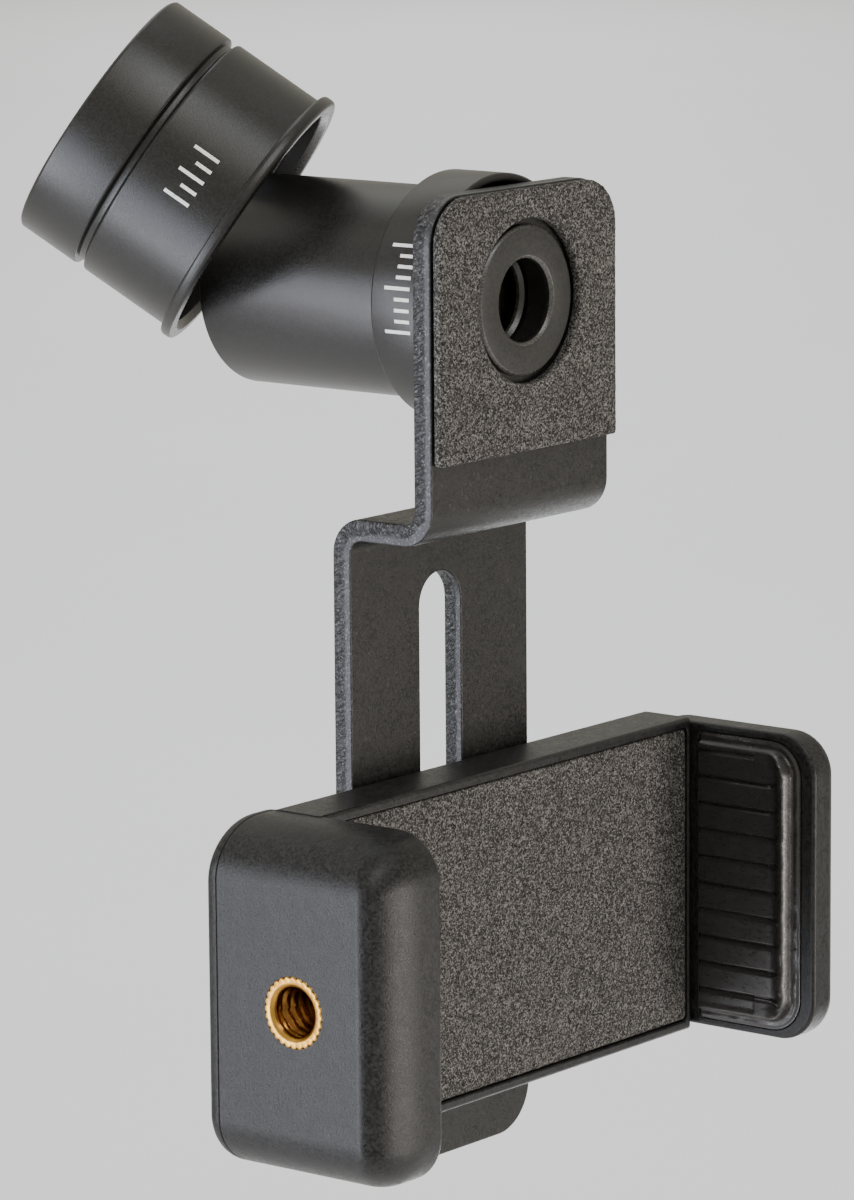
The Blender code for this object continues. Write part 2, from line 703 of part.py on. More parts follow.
def cover_screws(holder):
    """Four small pan-head screws, each with a cross recess."""
    tip = -3.6
    head = BODY_BACK - COVER_THICK / 2
    top = BODY_BACK - 0.05
    profile = [
        (0, tip),
        (SCREW_R - 0.3, tip),
        (SCREW_R, tip + 0.3),
        (SCREW_R, head),
        (SCREW_HEAD_R, head),
        (SCREW_HEAD_R, head + 0.3),
        (SCREW_HEAD_R - 0.3, top),
        (0, top),
    ]
    for number, (x, z) in enumerate(screw_places(), 1):
        made = part(f"cover_screw_{number}", turned(profile, SMALL, at(x, 0, z)), holder, "steel")
        for label, half_x, half_z in (("slot_across", 1.1, 0.2), ("slot_up", 0.2, 1.1)):
            low = (x - half_x, top - 0.3, z - half_z)
            cut(made, box(low, (x + half_x, top + PAST, z + half_z)), label)


def knurled_insert(turn):
    """A threaded insert with rounded lobes outside, drawn along +Y."""
    steps = INSERT_LOBES * 2
    bevel = 0.35
    shape = bmesh.new()
    loops = [circle(shape, INSERT_BORE, 0, steps)]
    for level, inset in ((0, bevel), (bevel, 0), (INSERT_LENGTH, 0)):
        loop = []
        for i in range(steps):
            angle = 2 * math.pi * i / steps
            radius = INSERT_R - inset - INSERT_LOBE * (i % 2)
            loop.append(shape.verts.new((radius * math.cos(angle), level, radius * math.sin(angle))))
        loops.append(loop)
    loops.append(circle(shape, INSERT_BORE, INSERT_LENGTH, steps))
    for near, far in zip(loops, loops[1:] + loops[:1]):
        skin(shape, near, far)
    shape.transform(turn)
    return shape


def inserts(holder):
    """The brass inserts: one in the fixed jaw's side for a tripod, one behind for the thumb screw."""
    side = along_x(FIXED_OUTER - 0.12, INSERT_Y, INSERT_Z)
    part("side_insert", knurled_insert(side), holder, "brass")
    start = CHANNEL_FLOOR + 2 * GAP
    back = ring(STUD_R + GAP, INSERT_R, start, BODY_BACK - GAP, SMALL, at(0, 0, CLAMP_Z))
    part("back_insert", back, holder, "brass")


def clamp_foam(holder):
    low = (FOAM_LEFT, FOAM_FRONT, CLAMP_Z - FOAM_HALF)
    part("clamp_foam_pad", box(low, (FOAM_RIGHT, FOAM_SEAT - GAP, CLAMP_Z + FOAM_HALF)), holder, "foam")


def rubber_pad(name, face, way, front, holder):
    """A rubber pad with ribs along Y and a lip behind its front edge. The way is +1 where it faces +X."""
    base = face - way * RUBBER_BASE
    outline = [(base, CLAMP_Z - RUBBER_HALF), (face, CLAMP_Z - RUBBER_HALF)]
    for i in range(RIB_COUNT):
        foot = RIB_START + i * RIB_PITCH
        for share, height in ((0.18, 0), (0.3, RIB_HEIGHT), (0.7, RIB_HEIGHT), (0.82, 0)):
            outline.append((face + way * height, foot + share * RIB_PITCH))
    outline += [(face, CLAMP_Z + RUBBER_HALF), (base, CLAMP_Z + RUBBER_HALF)]
    made = part(name, prism(outline, "Y", front - PAST, RUBBER_BACK + PAST), holder, "rubber")
    root = face - way * RUBBER_BASE / 2
    crest = face + way * LIP_HEIGHT
    start = front + LIP_START
    lip = [(root, start), (crest, start), (crest, start + LIP_LAND)]
    lip += [(face + way * RIB_HEIGHT / 2, start + LIP_DEPTH), (root, start + LIP_DEPTH)]
    join(made, prism(lip, "Z", CLAMP_Z - LIP_HALF, CLAMP_Z + LIP_HALF), "lip")
    combine(made, prism(rubber_outline(front), "X", face - PAST - 3, face + PAST + 3), "INTERSECT", "outline")


# ---------------------------------------------------------------- sprung jaw
def moving_jaw(holder):
    """The sprung jaw: a plate with rounded corners, and a foot that holds the guide rods."""
    low = (MOVING_FRONT, CLAMP_Z - MOVING_HALF)
    high = (BODY_BACK, CLAMP_Z + MOVING_HALF)
    plate = jaw_block(low, high, MOVING_OUTER, MOVING_INNER, MOVING_CORNER, MOVING_EDGE, MOVING_INNER_EDGE, 4)
    made = part("moving_jaw", plate, holder, "black_plastic")
    low = (BODY_FRONT - 1.2, CLAMP_Z - FOOT_HALF)
    high = (BODY_BACK - GAP, CLAMP_Z + FOOT_HALF)
    join(made, jaw_block(low, high, FOOT_OUTER, MOVING_INNER + 1.75, 2.2, (1.6, 1.6, 1.6), 0.8, 3), "foot")
    cut(made, rubber_recess(MOVING_INNER, 1, MOVING_RUBBER_FRONT), "rubber_recess")
    sockets = []
    for z in rod_heights().values():
        start = along_x(MOVING_INNER - PAST, ROD_Y, z)
        sockets.append(cylinder(ROD_R + ROD_PLAY, 0, ROD_END - MOVING_INNER + PAST + GAP, SMALL, start))
    cut(made, merged(sockets), "sockets")


def guide_rods(holder):
    """Two steel rods that slide in the clamp, each with a clip at its inner end."""
    for name, z in rod_heights().items():
        rod = cylinder(ROD_R, 0, ROD_END - ROD_START, SMALL, along_x(ROD_START, ROD_Y, z), 0.2)
        part(f"guide_rod_{name}", rod, holder, "steel")
        clip = ring(ROD_R + ROD_PLAY, CLIP_R, 0, CLIP_THICK, SMALL, along_x(CLIP_X, ROD_Y, z))
        part(f"rod_clip_{name}", clip, holder, "steel")


def coil(start, end, y, z):
    """A compression spring along X, drawn as wire with four sides."""
    per_turn = 8
    steps = SPRING_TURNS * per_turn
    rings = []
    for i in range(steps + 1):
        angle = 2 * math.pi * i / per_turn
        radial = Vector((0, math.cos(angle), math.sin(angle)))
        centre = Vector((start + (end - start) * i / steps, y, z)) + radial * SPRING_R
        across = Vector((SPRING_WIRE, 0, 0))
        outward = radial * SPRING_WIRE
        rings.append([centre + outward, centre + across, centre - outward, centre - across])
    return loft(rings)


def springs(holder):
    """The springs round the rods, from the clips to the clamp's end wall."""
    for name, z in rod_heights().items():
        part(f"jaw_spring_{name}", coil(SPRING_START, SPRING_END, ROD_Y, z), holder, "steel")


# ---------------------------------------------------------------- assembly
def build():
    for old in list(bpy.data.objects):
        bpy.data.objects.remove(old)
    for old in list(bpy.data.materials):
        bpy.data.materials.remove(old)
    root = pivot("adapter", (0, 0, 0))
    bracket(root)
    plate_pad(root)
    eyepiece_shell(root)
    eyepiece_optics(root)
    sleeve(pivot("sleeve_axis", SLEEVE_MOUTH, sleeve_turn(), root))
    screw_axis = pivot("screw_axis", (0, LEG_FRONT, CLAMP_Z), parent=root)
    washer(screw_axis)
    thumb_screw(pivot("knob_axis", (0, KNOB_FRONT, CLAMP_Z), parent=screw_axis))
    clamp_axis = pivot("clamp_axis", (0, BODY_BACK, CLAMP_Z), parent=screw_axis)
    clamp_body(clamp_axis)
    back_cover(clamp_axis)
    cover_screws(clamp_axis)
    inserts(clamp_axis)
    clamp_foam(clamp_axis)
    rubber_pad("fixed_jaw_pad", FIXED_INNER, 1, FIXED_RUBBER_FRONT, clamp_axis)
    springs(clamp_axis)
    jaw_axis = pivot("jaw_axis", (MOVING_INNER, ROD_Y, CLAMP_Z), parent=clamp_axis)
    moving_jaw(jaw_axis)
    rubber_pad("moving_jaw_pad", MOVING_INNER, -1, MOVING_RUBBER_FRONT, jaw_axis)
    guide_rods(jaw_axis)


build()
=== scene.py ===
import math

import bmesh
import bpy
from mathutils import Matrix, Vector, noise


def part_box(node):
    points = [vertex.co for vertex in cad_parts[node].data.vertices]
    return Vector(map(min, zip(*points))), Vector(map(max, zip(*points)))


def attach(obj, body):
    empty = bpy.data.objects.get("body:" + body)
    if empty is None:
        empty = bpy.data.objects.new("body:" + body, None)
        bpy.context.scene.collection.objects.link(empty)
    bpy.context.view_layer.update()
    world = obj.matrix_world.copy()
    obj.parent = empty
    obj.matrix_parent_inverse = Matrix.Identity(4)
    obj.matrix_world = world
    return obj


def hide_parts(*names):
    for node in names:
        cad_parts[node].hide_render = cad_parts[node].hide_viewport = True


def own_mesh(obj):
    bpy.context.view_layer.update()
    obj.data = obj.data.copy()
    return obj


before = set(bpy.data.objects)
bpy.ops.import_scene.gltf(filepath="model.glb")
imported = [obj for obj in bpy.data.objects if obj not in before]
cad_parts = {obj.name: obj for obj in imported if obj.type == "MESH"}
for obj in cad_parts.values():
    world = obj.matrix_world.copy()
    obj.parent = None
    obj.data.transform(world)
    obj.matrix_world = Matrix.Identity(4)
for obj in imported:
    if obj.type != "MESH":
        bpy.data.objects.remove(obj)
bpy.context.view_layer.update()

# Sizes and places below are in millimetres; MM turns them into metres.
MM = 0.001
SIDES = 160
UNMOVED = Matrix.Identity(4)
CUT = "DIFFERENCE"
JOIN = "UNION"

# The camera stands at the photograph's viewing angle.
CAMERA_PLACE = (-493.0, -386.9, 77.8)
CAMERA_TARGET = (-16.61, -10.0, -30.39)
CAMERA_ROLL = math.radians(-0.46)
CAMERA_LENS = 174.1

# The sleeve leans on the barrel. Its own +Y is tilted from the barrel's, up and to the left.
SLEEVE_MOUTH = (-4.04, 23.92, 6.72)
SLEEVE_TURN = Matrix.Rotation(-math.radians(34.7), 4, "Y") @ Matrix.Rotation(math.radians(43.4), 4, "X")


def span(node):
    """Lowest and highest corners of a CAD node, in millimetres."""
    low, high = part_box(node)
    return low / MM, high / MM


# ---- shapes, drawn in millimetres
def arc(centre, radius, start, end, steps, rise=None):
    """Points along an arc, with angles in degrees. The rise is an ellipse's second radius."""
    rise = radius if rise is None else rise
    points = []
    for i in range(steps + 1):
        angle = math.radians(start + (end - start) * i / steps)
        points.append((centre[0] + radius * math.cos(angle), centre[1] + rise * math.sin(angle)))
    return points


def rounded(low, high, radii, steps=10):
    """A rectangle with its own radius at each corner, anticlockwise from the lower left."""
    corners = [
        (low[0], low[1], 1, 1, 180),
        (high[0], low[1], -1, 1, 270),
        (high[0], high[1], -1, -1, 0),
        (low[0], high[1], 1, -1, 90),
    ]
    points = []
    for (x, y, right, up, start), radius in zip(corners, radii):
        points += arc((x + right * radius, y + up * radius), radius, start, start + 90, steps)
    return points


def skin(shape, loops):
    """Joins neighbouring loops of vertices with faces. A loop on the axis is one vertex, repeated."""
    for near, far in zip(loops, loops[1:]):
        for i in range(len(near)):
            j = (i + 1) % len(near)
            corners = list(dict.fromkeys((near[i], near[j], far[j], far[i])))
            if len(corners) > 2:
                shape.faces.new(corners)


def loft(rings):
    """A closed solid through rings of points, with flat ends."""
    shape = bmesh.new()
    loops = [[shape.verts.new(point) for point in ring] for ring in rings]
    skin(shape, loops)
    shape.faces.new(reversed(loops[0]))
    shape.faces.new(loops[-1])
    return facing_out(shape)


def facing_out(shape):
    bmesh.ops.recalc_face_normals(shape, faces=shape.faces)
    return shape


def spanned(outline, axis, level):
    """Points of an outline at a level of an axis. The outline's two numbers lie along the other two axes."""
    place = "XYZ".index(axis)
    return [[*point[:place], level, *point[place:]] for point in outline]


def prism(outline, axis, start, end):
    """Extrudes an outline along an axis."""
    return loft([spanned(outline, axis, start), spanned(outline, axis, end)])


def quarter(level, size, way, steps=5, depth=None):
    """Levels and insets of a rounded edge. The flat face is at the level, with the solid along the way."""
    depth = size if depth is None else depth
    stations = []
    for i in range(steps + 1):
        turn = math.pi / 2 * i / steps
        stations.append((level + way * depth * (1 - math.cos(turn)), size * (1 - math.sin(turn))))
    return stations


def mouth(level, size, way):
    """Levels and insets of a cutter that leaves a rounded rim. The cutter goes in along the way."""
    stations = [(level - way, -size * 0.95)]
    steps = 5
    for i in range(steps + 1):
        turn = math.radians(80) * (1 - i / steps)
        stations.append((level + way * size * (1 - math.sin(turn)), -size * (1 - math.cos(turn))))
    return stations


def pillow(low, high, radii, axis, stations, steps=10):
    """A rounded rectangle along an axis, drawn in at each level.

    A station is a level and an inset. A third number is a separate inset for the first low side.
    """
    rings = []
    for level, inset, *first in stations:
        corners = [max(radius - inset, 0.05) for radius in radii]
        start = low[0] + (first[0] if first else inset)
        outline = rounded((start, low[1] + inset), (high[0] - inset, high[1] - inset), corners, steps)
        rings.append(spanned(outline, axis, level))
    return loft(rings)


def box(low, high):
    outline = [(low[1], low[2]), (high[1], low[2]), (high[1], high[2]), (low[1], high[2])]
    return prism(outline, "X", low[0], high[0])


def mesh_of(shape, name="scratch"):
    """Turns a bmesh into a mesh, and frees the bmesh."""
    mesh = bpy.data.meshes.new(name)
    shape.to_mesh(mesh)
    shape.free()
    return mesh


def linked(name, data):
    """A new object in the scene."""
    made = bpy.data.objects.new(name, data)
    bpy.context.scene.collection.objects.link(made)
    return made


def merged(shapes):
    """One bmesh that holds several shapes."""
    whole = bmesh.new()
    for shape in shapes:
        mesh = mesh_of(shape)
        whole.from_mesh(mesh)
        bpy.data.meshes.remove(mesh)
    return whole


def circle(shape, radius, level, sides):
    """A ring of vertices round +Y, or one vertex on the axis. The radius may be a function of the angle."""
    if radius == 0:
        return [shape.verts.new((0, level, 0))] * sides
    loop = []
    for i in range(sides):
        angle = 2 * math.pi * i / sides
        r = radius(angle) if callable(radius) else radius
        loop.append(shape.verts.new((r * math.cos(angle), level, r * math.sin(angle))))
    return loop


def closed(shape, loops, turn=UNMOVED):
    """Skins loops of vertices, and the last one back to the first, then moves the solid by a matrix."""
    skin(shape, loops + loops[:1])
    shape.transform(turn)
    return facing_out(shape)


def turned(profile, sides=SIDES, turn=UNMOVED):
    """Revolves a closed profile of (radius, level) points about +Y, then moves it by a matrix."""
    shape = bmesh.new()
    return closed(shape, [circle(shape, radius, level, sides) for radius, level in profile], turn)


def eased(profile, size, steps=3):
    """Rounds the corners of a closed turned profile. Corners on the axis stay."""
    points = []
    count = len(profile)
    for i, corner in enumerate(profile):
        here = Vector(corner)
        before = Vector(profile[i - 1]) - here
        after = Vector(profile[(i + 1) % count]) - here
        reach = min(size, before.length * 0.45, after.length * 0.45)
        straight = before.angle(after, math.pi) > math.radians(170)
        if here.x == 0 or straight or reach < 0.01:
            points.append(corner)
            continue
        start = here + before.normalized() * reach
        end = here + after.normalized() * reach
        for k in range(steps + 1):
            t = k / steps
            points.append(tuple(start * (1 - t) ** 2 + here * 2 * t * (1 - t) + end * t * t))
    return points


def cylinder(radius, start, end, sides, turn=UNMOVED, ease=0.0):
    profile = [(0, start), (radius, start), (radius, end), (0, end)]
    return turned(eased(profile, ease) if ease else profile, sides, turn)


def plain_ring(bore, outer, start, end, ease, turn, sides=96, steps=3):
    """A plain ring round +Y with rounded edges, moved by a matrix."""
    profile = [(bore, start), (outer, start), (outer, end), (bore, end)]
    return turned(eased(profile, ease, steps), sides, turn)


def fitted_ring(node, bore, ease, turn=UNMOVED, steps=3):
    """A plain ring as wide and as long as a CAD node."""
    low, high = span(node)
    return plain_ring(bore, high.x, low.y, high.y, ease, turn, steps=steps)


def at(x, y, z):
    return Matrix.Translation((x, y, z))


def along_x(x, y, z):
    """Places a shape that is drawn along +Y so that it runs along +X."""
    return at(x, y, z) @ Matrix.Rotation(-math.pi / 2, 4, "Z")


def scratch(shape):
    """An object of a bmesh, for modifiers to work on."""
    return linked("scratch", mesh_of(shape))


def worked(target, helpers=()):
    """Takes the mesh that an object's modifiers give, as a bmesh, and removes the object and its helpers."""
    bpy.context.view_layer.update()
    depsgraph = bpy.context.evaluated_depsgraph_get()
    mesh = bpy.data.meshes.new_from_object(target.evaluated_get(depsgraph))
    done = bmesh.new()
    done.from_mesh(mesh)
    bpy.data.meshes.remove(mesh)
    for old in (target, *helpers):
        bpy.data.objects.remove(old)
    return done


def carve(shape, steps, bevel=0.0, segments=1):
    """Applies Booleans, given as (operation, shape) pairs, and then a bevel to the sharp edges."""
    target = scratch(shape)
    helpers = []
    for operation, tool in steps:
        helper = scratch(tool)
        helpers.append(helper)
        step = target.modifiers.new("carve", "BOOLEAN")
        step.operation = operation
        step.solver = "EXACT"
        step.object = helper
    if bevel:
        step = target.modifiers.new("edges", "BEVEL")
        step.width = bevel
        step.segments = segments
        step.limit_method = "ANGLE"
        step.angle_limit = math.radians(30)
        step.use_clamp_overlap = False
        step.miter_outer = "MITER_ARC"
    return worked(target, helpers)


def piece(name, shape, body, finish, nodes, sharp=35.0, weighted=False):
    """Makes a visible piece of a bmesh in millimetres. It rides on a body and may stand for CAD nodes."""
    bmesh.ops.scale(shape, verts=shape.verts, vec=(MM, MM, MM))
    mesh = mesh_of(shape, name)
    made = linked(name, mesh)
    for item in finish if isinstance(finish, (list, tuple)) else [finish]:
        mesh.materials.append(item)
    mesh.shade_smooth()
    mesh.set_sharp_from_angle(angle=math.radians(sharp))
    if weighted:
        step = made.modifiers.new("normals", "WEIGHTED_NORMAL")
        step.keep_sharp = True
        step.weight = 80
    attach(made, body)
    if nodes:
        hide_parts(*nodes)
    return made


# ---- materials
class Finish:
    """A Principled material and short ways to add nodes to it."""

    def __init__(self, name, **settings):
        self.material = bpy.data.materials.new(name)
        self.material.use_nodes = True
        self.tree = self.material.node_tree
        self.shader = self.tree.nodes["Principled BSDF"]
        for socket, value in settings.items():
            self.shader.inputs[socket.replace("_", " ")].default_value = value

    def node(self, kind, inputs=(), **properties):
        """Adds a node. Each of its inputs is given a value or another node's output."""
        made = self.tree.nodes.new(kind)
        for key, value in properties.items():
            setattr(made, key, value)
        for socket, value in dict(inputs).items():
            if isinstance(value, bpy.types.NodeSocket):
                self.tree.links.new(value, made.inputs[socket])
            else:
                made.inputs[socket].default_value = value
        return made

    def place(self, scale=(1, 1, 1), turn=None):
        """The piece's rest coordinates in millimetres, turned back by a matrix and stretched by a scale."""
        coordinates = self.node("ShaderNodeTexCoord").outputs["Object"]
        if turn:
            angles = turn.inverted().to_euler()
            turned_back = self.node("ShaderNodeMapping", {"Vector": coordinates, "Rotation": angles})
            coordinates = turned_back.outputs["Vector"]
        inputs = {"Vector": coordinates, "Scale": [1000 * s for s in scale]}
        return self.node("ShaderNodeMapping", inputs).outputs["Vector"]

    def noise(self, where, scale, detail=3.0, roughness=0.55, distortion=0.0):
        inputs = {"Vector": where, "Scale": scale, "Detail": detail}
        inputs.update({"Roughness": roughness, "Distortion": distortion})
        return self.node("ShaderNodeTexNoise", inputs).outputs["Fac"]

    def grains(self, where, scale):
        """A random value for each cell of a cell pattern."""
        colour = self.node("ShaderNodeTexVoronoi", {"Vector": where, "Scale": scale}).outputs["Color"]
        return self.node("ShaderNodeSeparateColor", {"Color": colour}).outputs["Red"]

    def spread(self, value, low, high, to_low, to_high):
        """Maps a value from one range to another, and clamps it."""
        inputs = {"Value": value, "From Min": low, "From Max": high, "To Min": to_low, "To Max": to_high}
        return self.node("ShaderNodeMapRange", inputs).outputs["Result"]

    def math(self, operation, first, second):
        return self.node("ShaderNodeMath", {0: first, 1: second}, operation=operation).outputs["Value"]

    def blend(self, share, first, second):
        """Mixes two colours. The mix node's colour inputs are numbers 6 and 7, and its colour output is 2."""
        return self.node("ShaderNodeMix", {0: share, 6: first, 7: second}, data_type="RGBA").outputs[2]

    def bump(self, height, distance, strength, below=None):
        """Bump of a real depth in millimetres, on top of another bump where one is given."""
        inputs = {"Height": height, "Distance": distance * MM, "Strength": strength}
        if below:
            inputs["Normal"] = below
        return self.node("ShaderNodeBump", inputs).outputs["Normal"]

    def set(self, **links):
        for socket, value in links.items():
            self.tree.links.new(value, self.shader.inputs[socket.replace("_", " ")])
        return self.material


def grey(value, red=1.0, green=1.0, blue=1.0):
    return (value * red, value * green, value * blue, 1.0)


def sheet_paint():
    """Satin black finish on the bent sheet: warm, with a fine grain and faint rub marks."""
    f = Finish("sheet_paint", Specular_IOR_Level=0.34)
    where = f.place()
    cloud = f.noise(where, 0.22, 4)
    speck = f.grains(where, 3.6)
    tone = f.blend(speck, grey(0.003, 1.08, 1.0, 0.9), grey(0.0155, 1.06, 1.0, 0.9))
    tone = f.blend(f.spread(cloud, 0.4, 0.7, 0, 0.4), tone, grey(0.016, 1.04, 1.0, 0.92))
    fleck = f.spread(f.grains(where, 2.8), 0.97, 1.0, 0, 0.3)
    tone = f.blend(fleck, tone, grey(0.07, 1.03, 1.0, 0.93))
    rough = f.spread(f.math("ADD", speck, cloud), 0.3, 1.6, 0.28, 0.5)
    normal = f.bump(f.noise(where, 4.2, 3, 0.7), 0.06, 0.6)
    normal = f.bump(f.noise(where, 1.1, 2), 0.05, 0.35, normal)
    return f.set(Base_Color=tone, Roughness=rough, Normal=normal)


def sheared_edge():
    """The sheet's cut edge: a burnished band along the front, and a torn zone with slanted marks."""
    f = Finish("sheared_edge", Metallic=0.4)
    across = f.node("ShaderNodeAttribute", attribute_name="across").outputs["Fac"]
    along = f.node("ShaderNodeAttribute", attribute_name="along").outputs["Fac"]
    slant = f.math("ADD", along, f.math("MULTIPLY", across, 1.1))
    spot = {"X": f.math("MULTIPLY", across, 0.9), "Y": slant}
    where = f.node("ShaderNodeCombineXYZ", spot).outputs["Vector"]
    marks = f.noise(where, 2.6, 4, 0.7, 0.6)
    fine = f.grains(f.place(), 4.5)
    edge = f.math("MULTIPLY", f.noise(where, 0.9, 2), 0.25)
    torn = f.spread(f.math("ADD", across, edge), 0.42, 0.56, 0, 1)
    dark = f.spread(marks, 0.45, 0.56, 1, 0)
    shade = f.math("MULTIPLY", dark, f.spread(torn, 0, 1, 0.2, 1.0))
    tone = f.blend(shade, grey(0.046, 0.96, 0.98, 1.08), grey(0.003, 1.0, 0.98, 1.0))
    tone = f.blend(f.spread(fine, 0.75, 1.0, 0, 0.8), tone, grey(0.13, 0.98, 0.99, 1.05))
    rough = f.spread(marks, 0.3, 0.7, 0.32, 0.55)
    normal = f.bump(f.math("MULTIPLY", marks, f.spread(torn, 0, 1, 0.25, 1.0)), 0.25, 0.9)
    normal = f.bump(fine, 0.03, 0.5, normal)
    return f.set(Base_Color=tone, Roughness=rough, Normal=normal)


def anodised(name, low=0.006, high=0.0135, gloss=0.46, rough_low=0.3, rough_high=0.37, turn=None):
    """Black anodised aluminium: blasted before anodising, with a trace of the turning marks."""
    f = Finish(name, Specular_IOR_Level=gloss)
    where = f.place()
    speck = f.grains(where, 4.6)
    rings = f.noise(f.place((0.02, 1, 0.02), turn), 6.0, 2, 0.6)
    cloud = f.noise(where, 0.3, 3)
    tint = (1.04, 1.0, 0.95)
    tone = f.blend(speck, grey(low, *tint), grey(high, *tint))
    mixed = f.math("ADD", f.math("MULTIPLY", speck, 0.7), f.math("MULTIPLY", cloud, 0.3))
    rough = f.spread(mixed, 0.1, 0.9, rough_low, rough_high)
    normal = f.bump(f.noise(where, 5.0, 3, 0.7), 0.035, 0.5)
    normal = f.bump(rings, 0.008, 0.4, normal)
    return f.set(Base_Color=tone, Roughness=rough, Normal=normal)


def foam():
    """Closed-cell foam with a speckled skin: dark pores and pale cell walls."""
    f = Finish("foam_skin", Specular_IOR_Level=0.25)
    where = f.place()
    coarse = f.grains(where, 5.6)
    small = f.grains(where, 9.0)
    speck = f.math("ADD", f.math("MULTIPLY", coarse, 0.6), f.math("MULTIPLY", small, 0.4))
    patch = f.noise(where, 0.35, 3)
    pore = grey(0.008, 1.05, 0.98, 0.93)
    wall = grey(0.045, 1.05, 0.99, 0.94)
    tone = f.blend(f.spread(speck, 0.2, 0.5, 0, 1), pore, wall)
    tone = f.blend(f.spread(speck, 0.5, 0.95, 0, 1), tone, grey(0.24, 1.03, 0.99, 0.95))
    tone = f.blend(f.spread(patch, 0.35, 0.65, 0.18, 0), tone, grey(0.02, 1.05, 0.98, 0.93))
    normal = f.bump(speck, 0.14, 0.8)
    rough = f.spread(speck, 0.3, 0.7, 0.95, 0.75)
    return f.set(Base_Color=tone, Roughness=rough, Normal=normal)


def moulded_plastic():
    """Satin black plastic with a soft spark-eroded grain."""
    f = Finish("moulded_plastic", Specular_IOR_Level=0.29)
    where = f.place()
    tint = (1.0, 0.99, 1.02)
    cloud = f.noise(where, 0.5, 4, 0.6)
    speck = f.grains(where, 3.4)
    small = f.grains(where, 6.1)
    mixed = f.math("ADD", f.math("MULTIPLY", speck, 0.65), f.math("MULTIPLY", small, 0.35))
    tone = f.blend(f.spread(mixed, 0.15, 0.85, 0, 1), grey(0.002, *tint), grey(0.021, *tint))
    tone = f.blend(f.spread(cloud, 0.4, 0.75, 0, 0.35), tone, grey(0.014, *tint))
    rough = f.spread(f.math("ADD", mixed, cloud), 0.5, 1.5, 0.3, 0.48)
    normal = f.bump(f.noise(where, 3.2, 4, 0.7), 0.07, 0.6)
    normal = f.bump(f.noise(where, 0.7, 2), 0.06, 0.3, normal)
    return f.set(Base_Color=tone, Roughness=rough, Normal=normal)


def jaw_rubber():
    """Glossy moulded rubber, brown-black, with small scuffs."""
    f = Finish("jaw_rubber", Specular_IOR_Level=0.6)
    where = f.place()
    cloud = f.noise(where, 0.5, 4)
    scuff = f.noise(f.place((1, 0.3, 1)), 3.0, 4, 0.7)
    tone = f.blend(cloud, grey(0.012, 1.15, 1.0, 0.95), grey(0.022, 1.12, 1.0, 0.95))
    rough = f.spread(scuff, 0.35, 0.7, 0.24, 0.46)
    normal = f.bump(scuff, 0.03, 0.5)
    return f.set(Base_Color=tone, Roughness=rough, Normal=normal)


def brass(name, bright, dull, rough_low, rough_high):
    """Turned brass with faint rings and a little staining."""
    f = Finish(name, Metallic=1.0)
    where = f.place()
    rings = f.noise(f.place((1, 0.05, 0.05)), 5.0, 2)
    stain = f.noise(where, 0.8, 4)
    tone = f.blend(f.spread(stain, 0.35, 0.7, 0, 1), bright, dull)
    rough = f.spread(stain, 0.3, 0.7, rough_low, rough_high)
    return f.set(Base_Color=tone, Roughness=rough, Normal=f.bump(rings, 0.01, 0.4))


def steel():
    f = Finish("plated_steel", Metallic=1.0)
    where = f.place()
    cloud = f.noise(where, 0.9, 4)
    tone = f.blend(cloud, (0.50, 0.50, 0.51, 1), (0.62, 0.61, 0.60, 1))
    rough = f.spread(f.noise(where, 5.0, 3), 0.3, 0.7, 0.22, 0.34)
    return f.set(Base_Color=tone, Roughness=rough, Normal=f.bump(cloud, 0.01, 0.3))


def glass():
    """Coated optical glass with a faint smear."""
    f = Finish(
        "coated_glass",
        Base_Color=(0.97, 0.98, 0.9, 1),
        Transmission_Weight=1.0,
        IOR=1.6,
        Coat_Weight=0.4,
        Coat_Tint=(0.8, 0.95, 0.55, 1),
    )
    return f.set(Roughness=f.spread(f.noise(f.place(), 0.6, 3), 0.4, 0.8, 0.0, 0.03))


def mark_paint():
    f = Finish("mark_paint", Specular_IOR_Level=0.4)
    where = f.place()
    worn = f.spread(f.noise(where, 3.0, 4, 0.7), 0.3, 0.45, 0, 1)
    tone = f.blend(worn, (0.55, 0.54, 0.52, 1), (0.86, 0.86, 0.84, 1))
    return f.set(Base_Color=tone, Roughness=f.spread(worn, 0, 1, 0.6, 0.45))


def floor_paint():
    f = Finish("pale_floor")
    tone = f.blend(f.noise(f.place(), 0.004, 3), grey(0.84), grey(0.88))
    return f.set(Base_Color=tone, Roughness=f.spread(f.noise(f.place(), 0.01, 2), 0, 1, 0.8, 0.9))


SHEET_PAINT = sheet_paint()
SHEARED = sheared_edge()
ANODISED = anodised("anodised_black")
SLEEVE_BLACK = anodised("anodised_sleeve", turn=SLEEVE_TURN)
FACED = anodised("anodised_face", 0.009, 0.021, 0.42, 0.34, 0.44)
# A lighter copy of the black anodising: a painted highlight on turned chamfers and bore edges.
CHAMFER_HIGHLIGHT = anodised("anodised_painted_highlight", 0.042, 0.068, 0.6, 0.22, 0.34)
MOUTH_BLACK = anodised("anodised_mouth", 0.008, 0.018, 0.6, 0.2, 0.3)
FOAM = foam()
PLASTIC = moulded_plastic()
RUBBER = jaw_rubber()
BRASS = brass("turned_brass", (0.56, 0.32, 0.065, 1), (0.42, 0.21, 0.045, 1), 0.28, 0.42)
# A darker copy of the brass for the tripod insert's bore: painted shade inside the hole.
BORE_SHADE_BRASS = brass("brass_with_painted_bore_shade", (0.34, 0.17, 0.045, 1), (0.16, 0.06, 0.016, 1), 0.16, 0.28)
STEEL = steel()
GLASS = glass()
MARKS = mark_paint()

def second_finish(shape, chosen):
    """Gives the second finish to the faces that a test of their centre and normal chooses."""
    for face in shape.faces:
        face.material_index = int(chosen(face.calc_center_median(), face.normal))


def steel_part(name, shape, body, node, sharp=35.0, weighted=False):
    return piece(name, shape, body, STEEL, [node], sharp, weighted)


